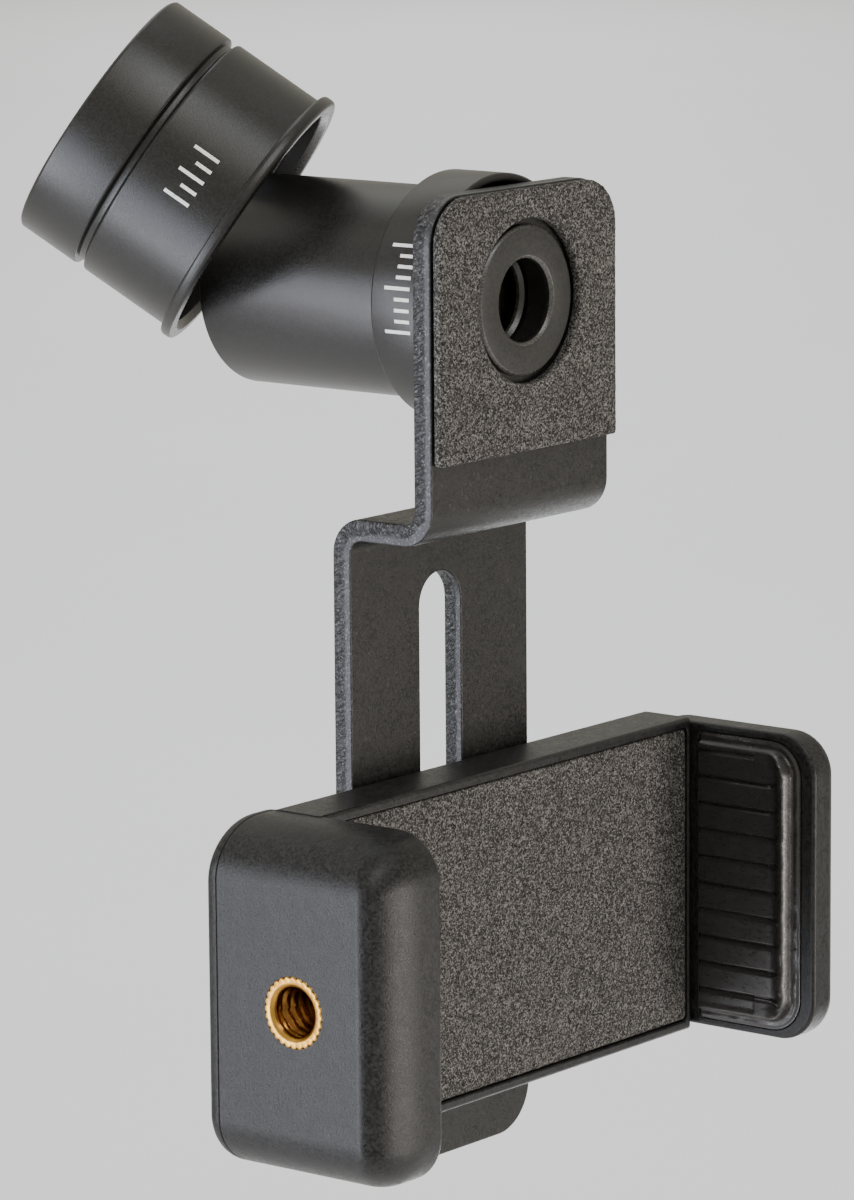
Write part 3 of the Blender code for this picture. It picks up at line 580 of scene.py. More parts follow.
def moulding(name, shape, body, node):
    piece(name, shape, body, PLASTIC, [node], weighted=True)


# ---- bracket
SHEET = 2.4
BEND = 4.0
INNER_BEND = BEND - SHEET
SHEET_LOW, SHEET_HIGH = span("z_bracket")
PLATE_FRONT = SHEET_LOW.y
LEG_BACK = SHEET_HIGH.y
LEG_FRONT = LEG_BACK - SHEET
PLATE_BACK = PLATE_FRONT + SHEET
STEP_UNDER = -25.2
HALF = SHEET_HIGH.x
FRONT_BEND = (PLATE_FRONT + BEND, STEP_UNDER + BEND)
REAR_BEND = (LEG_FRONT - INNER_BEND, STEP_UNDER - INNER_BEND)
SHEET_CORNERS = (5.6, 5.6, 5.2, 5.2)
PLATE_HOLE = 6.75
SLOT_HALF = 3.64
SLOT_TOP = -30.7
SLOT_BOTTOM = -88.0


def sheet_place(y, z):
    """A point's place through the sheet, from 0 at the front skin to 1 at the back, and along its length."""
    middle = BEND - SHEET / 2
    bent = math.pi / 2 * middle
    step = REAR_BEND[0] - FRONT_BEND[0]
    if z >= FRONT_BEND[1]:
        return (y - PLATE_FRONT) / SHEET, z - FRONT_BEND[1]
    if z <= REAR_BEND[1]:
        return (y - LEG_FRONT) / SHEET, z - REAR_BEND[1] - 2 * bent - step
    if y <= FRONT_BEND[0]:
        away = math.hypot(y - FRONT_BEND[0], z - FRONT_BEND[1])
        turn = math.atan2(FRONT_BEND[1] - z, FRONT_BEND[0] - y)
        return (BEND - away) / SHEET, -turn * middle
    if y >= REAR_BEND[0]:
        away = math.hypot(y - REAR_BEND[0], z - REAR_BEND[1])
        turn = math.atan2(y - REAR_BEND[0], z - REAR_BEND[1])
        return (away - INNER_BEND) / SHEET, -bent - step - turn * middle
    return (z - STEP_UNDER) / SHEET, -bent - (y - FRONT_BEND[0])


def is_cut_edge(centre, normal):
    """Whether a face lies on the sheet's cut edge and not on one of its skins."""
    flat = centre.z > FRONT_BEND[1] or centre.z < REAR_BEND[1]
    return abs(normal.x) > 0.5 or (flat and abs(normal.y) < 0.5)


def bracket():
    side = [(PLATE_FRONT, SHEET_HIGH.z)]
    side += arc(FRONT_BEND, BEND, 180, 270, 24)
    side += arc(REAR_BEND, INNER_BEND, 90, 0, 16)
    side += [(LEG_FRONT, SHEET_LOW.z), (LEG_BACK, SHEET_LOW.z)]
    side += arc(REAR_BEND, BEND, 0, 90, 24)
    side += arc(FRONT_BEND, INNER_BEND, 270, 180, 16)
    side += [(PLATE_BACK, SHEET_HIGH.z)]
    blank = prism(side, "X", -HALF - 1, HALF + 1)
    face = rounded((-HALF, SHEET_LOW.z), (HALF, SHEET_HIGH.z), SHEET_CORNERS, 16)
    slot = arc((0, SLOT_TOP - SLOT_HALF), SLOT_HALF, 0, 180, 28)
    slot += arc((0, SLOT_BOTTOM + SLOT_HALF), SLOT_HALF, 180, 360, 28)
    steps = [
        ("INTERSECT", prism(face, "Y", PLATE_FRONT - 1, LEG_BACK + 1)),
        (CUT, prism(slot, "Y", LEG_FRONT - 1, LEG_BACK + 1)),
        (CUT, cylinder(PLATE_HOLE, PLATE_FRONT - 1, PLATE_BACK + 1, 64)),
    ]
    shape = carve(blank, steps, 0.22, 3)
    second_finish(shape, is_cut_edge)
    paints = [SHEET_PAINT, SHEARED]
    made = piece("bracket_sheet", shape, "eyepiece", paints, ["z_bracket"], weighted=True)
    across = made.data.attributes.new("across", "FLOAT", "POINT")
    along = made.data.attributes.new("along", "FLOAT", "POINT")
    for i, vertex in enumerate(made.data.vertices):
        through, length = sheet_place(vertex.co.y / MM, vertex.co.z / MM)
        across.data[i].value = through
        along.data[i].value = length


# ---- foam
FOAM_HOLE = 8.95
GRAIN_DEPTH = 0.045


def grained(shape, cell):
    """Remeshes a slab finely, rounds its edges a little and gives its skin real grain."""
    target = scratch(shape)
    step = target.modifiers.new("remesh", "REMESH")
    step.mode = "VOXEL"
    step.voxel_size = cell
    pad = worked(target)
    pad.normal_update()
    moves = []
    for vertex in pad.verts:
        grain = noise.noise(vertex.co * 2.6) + 0.6 * noise.noise(vertex.co * 5.2)
        moves.append(vertex.normal * (GRAIN_DEPTH * grain))
    for vertex, move in zip(pad.verts, moves):
        vertex.co += move
    return pad


def foam_slab(node, radii):
    low, high = span(node)
    return prism(rounded((low.x, low.z), (high.x, high.z), radii), "Y", low.y, high.y)


def foam_pads():
    low, high = span("plate_foam_pad")
    hole = cylinder(FOAM_HOLE, low.y - 1, high.y + 1, 96)
    slab = carve(foam_slab("plate_foam_pad", (0.5, 0.5, 5.2, 5.2)), [(CUT, hole)])
    slab = grained(slab, 0.26)
    made = piece("plate_foam", slab, "eyepiece", FOAM, ["plate_foam_pad"], 180)
    slab = grained(foam_slab("clamp_foam_pad", (0.6,) * 4), 0.3)
    made = piece("clamp_foam", slab, "clamp", FOAM, ["clamp_foam_pad"], 180)


# ---- eyepiece
EYE_BORE = 6.7


def black_part(name, shape, node, finish=ANODISED):
    piece(name, shape, "eyepiece", finish, [node])


def lock_ring():
    """The flanged ring in the plate's hole. Its turned chamfers get a lighter grey, a painted highlight."""
    low, high = span("lock_ring")
    face = low.y
    seat = PLATE_FRONT - 0.2
    spigot = 6.4
    bore = 5.4
    lip = 4.55
    chamfer = 0.3
    profile = [(lip + 0.35, face), (high.x - chamfer, face), (high.x, face + chamfer), (high.x, seat)]
    profile += [(spigot, seat), (spigot, high.y), (bore, high.y), (bore, face + 1.1)]
    profile += [(lip, face + 0.9), (lip, face + 0.35)]
    shape = turned(eased(profile, 0.06, 2))
    # The front chamfers get the lighter grey as a painted highlight.
    second_finish(shape, lambda centre, normal: centre.y < face + 0.5 and 0.3 < normal.xz.length < 0.95)
    black_part("lock_ring_fine", shape, "lock_ring", [FACED, CHAMFER_HIGHLIGHT])


def head_collar():
    """The collar behind the plate, with a fine thread in its cup for the lock ring."""
    low, high = span("eyepiece_head")
    outer = high.x
    cup = outer - 0.95
    cup_floor = -4.1
    boss = 9.4
    boss_face = PLATE_BACK + 0.2
    recess = 8.8
    recess_floor = -3.0
    pitch = 0.5
    thread = []
    for i in range(6):
        level = low.y + 0.35 + i * pitch
        thread += [(cup - 0.12, level), (cup + 0.08, level + pitch / 2)]
    profile = [(cup + 0.2, low.y), (outer - 0.2, low.y), (outer, low.y + 0.2)]
    profile += [(outer, -0.3), (outer - 0.3, 0)]
    profile += [(recess, 0), (recess, recess_floor), (EYE_BORE, recess_floor), (EYE_BORE, boss_face)]
    profile += [(boss, boss_face), (boss, cup_floor), (cup, cup_floor)]
    profile += list(reversed(thread))
    shape = turned(eased(profile, 0.1, 2))
    black_part("head_collar", shape, "eyepiece_head")


def barrel_tube():
    low, high = span("eyepiece_barrel")
    outer = high.x
    neck = 8.6
    shoulder = 0.12
    bore = 10.4
    bore_floor = 1.6
    profile = [(EYE_BORE, low.y), (neck, low.y), (neck, shoulder), (outer - 0.15, shoulder)]
    profile += [(outer, shoulder + 0.15), (outer, high.y - 0.5), (outer - 0.5, high.y)]
    profile += [(bore, high.y), (bore, bore_floor), (EYE_BORE, bore_floor)]
    shape = turned(eased(profile, 0.12, 3))
    black_part("barrel_tube", shape, "eyepiece_barrel")


def lens_profile(low, high, front_bulge, back_bulge):
    """A lens that bulges by its own amount on each side and is thinnest at its rim."""
    steps = 20
    radius = high.x
    curve = [(radius * i / steps, 1 - (i / steps) ** 2) for i in range(steps + 1)]
    profile = [(r, low.y + front_bulge * (1 - height)) for r, height in curve]
    profile += [(r, high.y - back_bulge * (1 - height)) for r, height in reversed(curve)]
    return profile


def optics():
    low, high = span("eye_lens_retainer")
    bore = 4.8
    cone = bore + 0.4
    profile = [(cone, low.y), (high.x, low.y), (high.x, high.y)]
    profile += [(bore + 0.05, high.y), (bore, high.y - 0.15), (bore, low.y + 0.4)]
    shape = turned(profile)
    # The retainer's bore and cone get the lighter grey: a painted highlight on its inner edge.
    second_finish(shape, lambda centre, normal: centre.xz.length < cone - 0.05)
    black_part("lens_retainer", shape, "eye_lens_retainer", [ANODISED, CHAMFER_HIGHLIGHT])
    lenses = (("front_lens", "eye_lens", (0.85, 0.7)), ("rear_lens", "field_lens", (1.2, 0.3)))
    for name, node, bulges in lenses:
        lens = turned(lens_profile(*span(node), *bulges))
        piece(name, lens, "eyepiece", GLASS, [node])
    tubes = {
        "eye_lens_spacer": ("lens_spacer", 5.6),
        "front_tube": ("inner_tube_front", 9.3),
        "field_stop": ("stop_disc", 6.5),
        "rear_tube": ("inner_tube_rear", 9.3),
        "field_lens_retainer": ("rear_retainer", 9.0),
    }
    for node, (name, bore) in tubes.items():
        black_part(name, fitted_ring(node, bore, 0.12, steps=2), node)


SHORT_TICK = 2.0
TICK_THICK = 0.03


def arc_patch(radius, start, end, low, high):
    """A thin painted patch on a cylinder about +Y, between two angles in degrees and two levels."""
    steps = max(2, round(abs(end - start) / 2))
    outer = radius + TICK_THICK
    rings = []
    for i in range(steps + 1):
        angle = math.radians(start + (end - start) * i / steps)
        ring = []
        for r, level in ((radius, low), (outer, low), (outer, high), (radius, high)):
            ring.append((r * math.cos(angle), level, r * math.sin(angle)))
        rings.append(ring)
    return loft(rings)


def tick_row(radius, level, start, pitch, width, count, every, longest):
    """A row of index ticks on a cylinder about +Y. The first and each so many after it are the longest."""
    ticks = []
    for i in range(count):
        angle = start + pitch * i
        length = longest if i % every == 0 else SHORT_TICK
        ticks.append(arc_patch(radius, angle, angle + width, level, level + length))
    return merged(ticks)


def index_marks():
    """Plain index ticks, in place of printed lettering."""
    radius = span("eyepiece_head")[1].x - 0.01
    marks = tick_row(radius, -5.4, 150, 5, 1.6, 9, 4, 3.4)
    piece("head_marks", marks, "eyepiece", MARKS, ())


# ---- sleeve
# Radius and level of each corner of the sleeve, from its mouth: rim, tube, groove, tail, bore, seat.
SLEEVE_PROFILE = [
    (14.6, 0), (15.45, 0), (15.8, 0.18), (15.9, 0.5),
    (15.9, 1.1), (15.78, 1.36), (15.5, 1.43), (15.1, 1.43),
    (15.0, 1.53), (15.0, 12.2),
    (14.92, 12.38), (14.25, 12.62), (14.25, 13.32), (14.92, 13.56), (15.0, 13.74),
    (15.0, 20.72), (14.72, 21.0), (12.1, 21.0),
    (11.7, 20.6), (11.7, 2.4),
    (13.9, 2.4), (13.9, 0.75),
]
MOUTH_DEPTH = 0.8


def is_mouth(centre, normal):
    """Whether a face of the sleeve is its front face or lies inside its mouth."""
    return centre.y < MOUTH_DEPTH and (normal.xz.dot(centre.xz) < 0 or normal.y < -0.9)


def sleeve():
    placed = at(*SLEEVE_MOUTH) @ SLEEVE_TURN
    shape = turned(eased(SLEEVE_PROFILE, 0.12, 3))
    second_finish(shape, is_mouth)
    shape.transform(placed)
    piece("sleeve_tube", shape, "sleeve", [SLEEVE_BLACK, MOUTH_BLACK], ["adapter_sleeve"])
    marks = tick_row(14.99, 5.2, 112, 5.5, 1.5, 5, 2, 3.2)
    marks.transform(placed)
    piece("sleeve_marks", marks, "sleeve", MARKS, ())


# ---- clamp
BODY_LOW, BODY_HIGH = span("clamp_body")
FOAM_LOW, FOAM_HIGH = span("clamp_foam_pad")
COVER_LOW, COVER_HIGH = span("back_cover")
CLAMP_Z = -70.4
SCREW_AXIS = at(0, 0, CLAMP_Z)
FIXED_INNER = -29.1
FIXED_EDGE = (7.4, 6.0, 3.3)
FIXED_CORNER = 5.24
MOVING_INNER = 36.85
MOVING_OUTER = 41.6
BODY_FRONT = -6.4
BODY_BACK = BODY_HIGH.y
BODY_HALF = 18.35
PART_LINE = 0.3
INSERT_HOLE = 3.86
BOSS_RADII = (4.15, 5.8)
HOLLOW_X = (-27.6, 33.4)
HOLLOW_FRONT = -4.3
HOLLOW_HALF = 15.2
SEAT_X = (-31.5, 33.8)
SEAT_HALF = 16.2
SEAT_DEPTH = 1.45
COVER_LEFT = -31.1
COVER_HALF = 15.95
COVER_HOLE = 6.0
SCREW_X = (-24.6, 30.2)
SCREW_Z = 6.5
ROD_HEIGHTS = (CLAMP_Z + 12.5, CLAMP_Z - 12.5)
ROD_Y = -2.4
ROD_HOLE = 1.15
THREAD_PITCH = 1.27
STUD_BORE = 3.25


def jaw_block(low, high, outer, inner, corner, edge, inner_edge):
    """A block across X with rounded corners. The outer edge's rounding has its own size along X, Z and Y."""
    way = 1 if inner > outer else -1
    depth, rise, ahead = edge
    stations = [(level, inset, inset * ahead / rise) for level, inset in quarter(outer, rise, way, 24, depth)]
    stations += quarter(inner, inner_edge, -way, 8)[::-1]
    return pillow(low, high, (corner,) * 4, "X", stations, 14)


def rod_holes(start, depth):
    """Cuts for the two guide rods, from a place along X."""
    return [(CUT, cylinder(ROD_HOLE, 0, depth, 48, along_x(start, ROD_Y, z))) for z in ROD_HEIGHTS]


def screw_places():
    return [(x, CLAMP_Z + z) for x in SCREW_X for z in (-SCREW_Z, SCREW_Z)]


def clamp_shell():
    """The moulding with the fixed jaw and the channel. It is open at the back, where the cover goes in."""
    low = (BODY_LOW.y, COVER_LOW.z)
    high = (PART_LINE + 8.0, COVER_HIGH.z)
    jaw = jaw_block(low, high, BODY_LOW.x, FIXED_INNER, FIXED_CORNER, FIXED_EDGE, 0.8)
    low = (BODY_FRONT, CLAMP_Z - BODY_HALF)
    high = (BODY_BACK, CLAMP_Z + BODY_HALF)
    stations = [(FIXED_INNER - 1, 0)] + quarter(BODY_HIGH.x, 0.35, -1)[::-1]
    channel = pillow(low, high, (0.45, 1.3, 1.3, 0.45), "X", stations, 8)
    low = (FOAM_LOW.x - 0.15, FOAM_LOW.z - 0.12)
    high = (FOAM_HIGH.x + 0.15, FOAM_HIGH.z + 0.12)
    foam_seat = pillow(low, high, (0.7,) * 4, "Y", mouth(BODY_FRONT, 0.22, 1) + [(FOAM_HIGH.y + 0.2, 0)])
    insert_low, insert_high = span("side_insert")
    insert = (insert_low + insert_high) / 2
    insert_place = along_x(insert_low.x, *insert.yz)
    insert_hole = cylinder(INSERT_HOLE, -1, insert_high.x - insert_low.x + 0.2, 128, insert_place)
    front = -4.8
    rear = BODY_BACK - 0.2
    bore, outer = BOSS_RADII
    boss = turned([(bore, front), (outer, front), (outer, rear), (bore, rear)], 80, SCREW_AXIS)
    back = BODY_BACK + 4
    hollow_low = (HOLLOW_X[0], HOLLOW_FRONT, CLAMP_Z - HOLLOW_HALF)
    hollow_high = (HOLLOW_X[1], back, CLAMP_Z + HOLLOW_HALF)
    seat_low = (SEAT_X[0], BODY_BACK - SEAT_DEPTH, CLAMP_Z - SEAT_HALF)
    seat_high = (SEAT_X[1], back + 1, CLAMP_Z + SEAT_HALF)
    behind_line = box((BODY_LOW.x - 1, PART_LINE, -99), (FIXED_INNER + 0.2, 12, -40))
    steps = [
        (JOIN, channel),
        (CUT, foam_seat),
        (CUT, pad_seat("fixed_jaw_pad", FIXED_INNER, 1)),
        (CUT, behind_line),
        (CUT, box(hollow_low, hollow_high)),
        (CUT, box(seat_low, seat_high)),
        (JOIN, boss),
        (CUT, insert_hole),
    ]
    steps += rod_holes(BODY_HIGH.x - 4, 6)
    moulding("clamp_shell", carve(jaw, steps), "clamp", "clamp_body")


def cap_outline(low, high, inset):
    """The fixed jaw's outline seen from behind, with the outer edge's rounding at its left corners."""
    depth, rise = FIXED_EDGE[:2]
    left = low[0] + inset + depth
    right = high[0] - inset - 1
    outline = arc((left, low[1] + inset + rise), depth, 180, 270, 24, rise)
    outline += arc((right, low[1] + inset + 1), 1, 270, 360, 8)
    outline += arc((right, high[1] - inset - 1), 1, 0, 90, 8)
    return outline + arc((left, high[1] - inset - rise), depth, 90, 180, 24, rise)


def clamp_cover():
    low = (COVER_LOW.x, COVER_LOW.z)
    high = (FIXED_INNER, COVER_HIGH.z)
    stations = [(PART_LINE + 0.1, 0.1), (PART_LINE + 0.2, 0)] + quarter(COVER_HIGH.y, 0.6, -1, 10, 1.35)[::-1]
    cap = loft([spanned(cap_outline(low, high, inset), "Y", level) for level, inset in stations])
    seat = COVER_LOW.y
    low = (COVER_LEFT, CLAMP_Z - COVER_HALF)
    high = (COVER_HIGH.x, CLAMP_Z + COVER_HALF)
    plate = pillow(low, high, (1.2,) * 4, "Y", [(seat + 0.05, 0)] + quarter(BODY_BACK - 0.05, 0.2, -1)[::-1])
    well = 2.2
    floor_level = 0.12
    profile = [(0, floor_level), (well, floor_level), (well, BODY_BACK - 0.2), (well + 0.4, BODY_BACK + 0.2)]
    profile += [(well + 0.4, 3), (0, 3)]
    wells = [turned(profile, 64, at(x, 0, z)) for x, z in screw_places()]
    bridge = box((-31.3, seat, CLAMP_Z - 15.5), (-29.3, 1.3, CLAMP_Z + 15.5))
    steps = [
        (JOIN, bridge),
        (JOIN, plate),
        (CUT, cylinder(COVER_HOLE, seat - 1, 3, 96, SCREW_AXIS)),
        (CUT, merged(wells)),
    ]
    moulding("rear_cover", carve(cap, steps), "clamp", "back_cover")


def cover_screws():
    shank = 0.85
    head = 2.0
    head_seat = 0.33
    for number, (x, z) in enumerate(screw_places(), 1):
        low, high = span(f"cover_screw_{number}")
        profile = [(0, low.y), (shank - 0.3, low.y), (shank, low.y + 0.4), (shank, head_seat)]
        profile += [(head, head_seat), (head, 0.6), (1.75, 0.82), (1.2, high.y), (0, high.y)]
        arms = []
        for half_x, half_z in ((1.1, 0.2), (0.2, 1.1)):
            low_corner = (x - half_x, high.y - 0.4, z - half_z)
            arms.append((CUT, box(low_corner, (x + half_x, high.y + 1, z + half_z))))
        shape = carve(turned(profile, 64, at(x, 0, z)), arms, 0.04)
        steel_part(f"pan_screw_{number}", shape, "clamp", f"cover_screw_{number}", weighted=True)


def scalloped(outer, lobes, depth):
    """The radius of a ring of convex lobes, as a function of the angle."""
    return lambda angle: outer - depth * (1 - abs(math.cos(lobes * angle / 2)))


def waved(outer, lobes, depth):
    """The radius of a ring of smooth waves, as a function of the angle."""
    return lambda angle: outer - depth * (1 - math.cos(lobes * angle))


def threaded(level, root, depth, slope, flat=0.0):
    """The radius of a thread at a level, as a function of the angle."""

    def radius(angle):
        phase = (level / THREAD_PITCH - angle / (2 * math.pi)) % 1
        return root + depth * min(1, max(0, slope * abs(2 * phase - 1) - flat))

    return radius


def insert_mesh(length):
    """A brass insert along +Y: a lobed head, and a true thread inside."""
    lobes = 28
    sides = lobes * 6
    outer = 3.98
    crest = 2.66
    depth = 0.5
    steps_per_turn = 10
    shape = bmesh.new()
    loops = []
    rim = [(0, 0.25), (0.03, 0.12), (0.12, 0.03), (0.25, 0), (length - 0.3, 0), (length, 0.3)]
    for level, inset in rim:
        loops.append(circle(shape, scalloped(outer - inset, lobes, 0.24), level, sides))
    inner_levels = [length]
    count = int((length - 0.9) / THREAD_PITCH * steps_per_turn)
    for i in range(count, -1, -1):
        inner_levels.append(0.6 + i * THREAD_PITCH / steps_per_turn)
    for level in inner_levels:
        fade = min(1, max(0, (level - 0.6) / 0.6))
        loops.append(circle(shape, threaded(level, crest, depth * fade, 1.25, 0.12), level, sides))
    for wider, level in ((0.12, 0.35), (0.42, 0.05), (0.52, 0)):
        loops.append(circle(shape, crest + wider, level, sides))
    return closed(shape, loops)


def inserts():
    low, high = span("side_insert")
    centre = (low + high) / 2
    shape = insert_mesh(high.x - low.x)
    # The bore's faces take the darker brass, which paints the shade inside the hole.
    second_finish(shape, lambda centre, normal: centre.y > 0.4 and centre.xz.length < 3.4)
    shape.transform(along_x(low.x, centre.y, centre.z))
    piece("tripod_insert", shape, "clamp", [BRASS, BORE_SHADE_BRASS], ["side_insert"], 45)
    shape = fitted_ring("back_insert", STUD_BORE, 0.15, SCREW_AXIS)
    piece("screw_insert", shape, "clamp", BRASS, ["back_insert"])


# ---- rubber pads
RIB_PITCH = 3.12
RIB_START = CLAMP_Z - 16.45
PAD_CORNER = 4.0
PAD_BASE = 0.8
FLANGE = 1.2
LIP_HEIGHT = 1.98
LIP_FADE = 3.2
SIDE_HEIGHT = 0.75
FIELD_HEIGHT = 0.62
GROOVE_DEPTH = 0.3


def pad_seat(node, face, way):
    """The pocket for a rubber pad in a jaw's face. The pad faces along the way."""
    low, high = span(node)
    corners = (PAD_CORNER, 0.8, 0.8, PAD_CORNER)
    stations = mouth(face, 0.12, -way) + [(face - way * (PAD_BASE + 0.15), 0)]
    return pillow((low.y - 0.06, low.z - 0.06), (high.y + 0.06, high.z + 0.06), corners, "X", stations)


def smooth_step(value):
    value = min(1.0, max(0.0, value))
    return value * value * (3 - 2 * value)


def edge_distance(y, z, front, half):
    """How far a point of the pad's outline plane lies inside its front, upper and lower edges."""
    sides = half - abs(z)
    ahead = y - front
    if sides < PAD_CORNER and ahead < PAD_CORNER:
        return PAD_CORNER - math.hypot(PAD_CORNER - sides, PAD_CORNER - ahead)
    return min(sides, ahead)


def flange_height(y, z):
    """The thin, slightly wavy skirt of rubber round the pad."""
    broad = noise.noise(Vector((y * 0.4, z * 0.45, 3.0)))
    fine = noise.noise(Vector((y, z * 1.4, 8.0)))
    return 0.16 + 0.13 * broad + 0.05 * fine


def pad_height(y, z, front, back, half):
    """Height of the rubber above the jaw's face: a flange, a raised lip in front, and ribs behind it."""
    inside = edge_distance(y, z, front, half)
    ahead = y - front
    lip = smooth_step((LIP_FADE - ahead + FLANGE) / LIP_FADE)
    low_side = SIDE_HEIGHT + (LIP_HEIGHT - SIDE_HEIGHT) * lip
    wall = smooth_step((inside - FLANGE * 0.75) / 0.5)
    rib = ((z + CLAMP_Z - RIB_START) / RIB_PITCH) % 1
    groove = smooth_step((0.12 - min(rib, 1 - rib)) / 0.09)
    field = FIELD_HEIGHT + 0.16 * (rib - 0.5) - GROOVE_DEPTH * groove
    spur = 0.8 * smooth_step((0.08 - min(rib, 1 - rib)) / 0.06)
    inner = smooth_step((inside - FLANGE - 0.45 - spur) / 2.2)
    if ahead > 6:
        inner = smooth_step((inside - FLANGE - 0.3) / 0.7)
    worn = 0.15 * noise.noise(Vector((y * 0.5, z * 0.5, 21.0))) + 0.1 * noise.noise(Vector((y, z * 1.5, 5.0)))
    top = low_side + (field - low_side) * inner + (worn - 0.12) * lip
    skirt = 0.04 + flange_height(y, z) * smooth_step((inside - 0.1) / 0.35)
    height = skirt + (top - skirt) * wall
    return height - 0.6 * smooth_step((0.35 - (back - y)) / 0.35)


def rubber_pad(name, node, face, way, body):
    """A ribbed pad with a lip along its front edge, in a jaw's face. It faces along the way.

    Its grid is closer near the ends and the front edge, where the pad curves most.
    """
    low, high = span(node)
    middle = (high.z + low.z) / 2
    half = (high.z - low.z) / 2
    rows = 240
    columns = 100
    shape = bmesh.new()
    grid = []
    for i in range(rows + 1):
        share = i / rows
        z = -half * math.cos(math.pi * share) * 0.25 + (2 * share - 1) * half * 0.75
        inset = max(0.0, PAD_CORNER - (half - abs(z)))
        start = low.y + PAD_CORNER - math.sqrt(max(0.0, PAD_CORNER**2 - inset**2))
        row = []
        for j in range(columns + 1):
            y = start + (high.y - start) * (j / columns) ** 1.25
            x = face + way * pad_height(y, z, low.y, high.y, half)
            row.append(shape.verts.new((x, y, middle + z)))
        grid.append(row)
    for near, far in zip(grid, grid[1:]):
        for j in range(columns):
            shape.faces.new((near[j], near[j + 1], far[j + 1], far[j]))
    rim = grid[0] + [row[-1] for row in grid[1:-1]] + grid[-1][::-1] + [row[0] for row in grid[-2:0:-1]]
    foot = [shape.verts.new((face - way * (PAD_BASE - 0.05), v.co.y, v.co.z)) for v in rim]
    skin(shape, [rim, foot])
    shape.faces.new(foot)
    bmesh.ops.remove_doubles(shape, verts=shape.verts, dist=0.0005)
    piece(name, facing_out(shape), body, RUBBER, [node], 50)


# ---- moving jaw
CLIP_RADII = (1.12, 1.7)
CLIP_THICK = 0.8


def moving_jaw():
    """The sprung jaw with its foot at the end of the channel, a pocket for the pad and holes for the rods."""
    low, high = span("moving_jaw")
    inner = MOVING_INNER
    plate = jaw_block((low.y, low.z), (high.y, high.z), MOVING_OUTER, inner, 4.9, (2.0, 2.0, 2.0), 0.5)
    foot_low = (BODY_FRONT - 1.2, CLAMP_Z - 16.5)
    foot_high = (BODY_BACK - 0.2, CLAMP_Z + 16.5)
    steps = [
        (JOIN, jaw_block(foot_low, foot_high, high.x, inner + 1.75, 2.2, (1.6, 1.6, 1.6), 0.5)),
        (CUT, pad_seat("moving_jaw_pad", inner, -1)),
    ]
    steps += rod_holes(inner - 1, 5.5)
    moulding("sprung_jaw", carve(plate, steps), "jaw", "moving_jaw")


def rods_and_springs():
    for side in ("upper", "lower"):
        low, high = span(f"guide_rod_{side}")
        z = (low.z + high.z) / 2
        y = (low.y + high.y) / 2
        rod = cylinder(1.0, 0, high.x - low.x, 48, along_x(low.x, y, z), 0.2)
        steel_part(f"rod_{side}", rod, "jaw", f"guide_rod_{side}")
        low, high = span(f"rod_clip_{side}")
        clip = plain_ring(*CLIP_RADII, 0, CLIP_THICK, 0.08, along_x(low.x, y, z), 48)
        steel_part(f"clip_{side}", clip, "jaw", f"rod_clip_{side}")
        low, high = span(f"jaw_spring_{side}")
        wire = coil(low.x, high.x, y, z)
        made = steel_part(f"spring_{side}", wire, "clamp", f"jaw_spring_{side}")
        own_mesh(made)


def coil(start, end, y, z):
    """A compression spring along X, evenly wound, with a flat cut at each end of its wire."""
    turns = 26
    per_turn = 20
    sides = 8
    wire = 0.2
    radius = 1.42
    rings = []
    steps = turns * per_turn
    for i in range(steps + 1):
        t = i / steps
        angle = 2 * math.pi * i / per_turn
        radial = Vector((0, math.cos(angle), math.sin(angle)))
        x = start + wire + (end - start - 2 * wire) * t
        centre = Vector((x, y, z)) + radial * radius
        ring = []
        for across, along in arc((0, 0), wire, 0, 360, sides)[:-1]:
            ring.append(centre + radial * across + Vector((along, 0, 0)))
        rings.append(ring)
    return loft(rings)


# ---- thumb screw
def knob_grip():
    """The thumb screw's lobed grip, with a dished face behind and a bore for the stud in front."""
    low, high = span("thumb_knob")
    lobes = 12
    sides = lobes * 16
    bore = 3.3
    recess = 2.4
    shape = bmesh.new()
    loops = [circle(shape, bore, low.y, sides)]
    for level, inset, depth in (
        (low.y, 1.1, 0.55),
        (low.y + 0.15, 0.5, 0.55),
        (low.y + 0.6, 0.1, 0.55),
        (low.y + 1.0, 0, 0.55),
        (high.y - 1.6, 0, 0.55),
        (high.y - 0.8, 0.25, 0.55),
        (high.y - 0.25, 0.9, 0.5),
        (high.y, 1.9, 0.33),
    ):
        loops.append(circle(shape, waved(high.x - inset, lobes, depth), level, sides))
    for radius, drop in ((7.3, 0.02), (6.9, 0.5), (6.2, 0.62), (0, 0.62), (0, recess), (bore, recess)):
        loops.append(circle(shape, radius, high.y - drop, sides))
    shape = closed(shape, loops, SCREW_AXIS)
    piece("knob_grip", shape, "knob", PLASTIC, ["thumb_knob"], 40)


def knob_stud():
    """The stud, with a true thread between its plain ends."""
    low, high = span("knob_stud")
    sides = 64
    root = 2.5
    shape = bmesh.new()
    loops = [circle(shape, 0, low.y, sides), circle(shape, root - 0.2, low.y, sides)]
    level = low.y + 0.4
    while level < high.y - 0.3:
        loops.append(circle(shape, threaded(level, root, 0.55, 1.2), level, sides))
        level += THREAD_PITCH / 8
    loops += [circle(shape, root, high.y, sides), circle(shape, 0, high.y, sides)]
    shape = closed(shape, loops, SCREW_AXIS)
    steel_part("threaded_stud", shape, "knob", "knob_stud", 50)


def screw_washer():
    shape = fitted_ring("screw_washer", STUD_BORE, 0.15, SCREW_AXIS)
    steel_part("plain_washer", shape, "carrier", "screw_washer")


# ---- stage
def aim(place, target, roll=0.0):
    """A matrix at a place in millimetres that looks along -Z at a target."""
    place = Vector(place)
    back = (place - Vector(target)).normalized()
    right = Vector((0, 0, 1)).cross(back).normalized()
    up = back.cross(right)
    turn = Matrix((right, up, back)).transposed().to_4x4()
    return Matrix.Translation(place * MM) @ turn @ Matrix.Rotation(roll, 4, "Z")


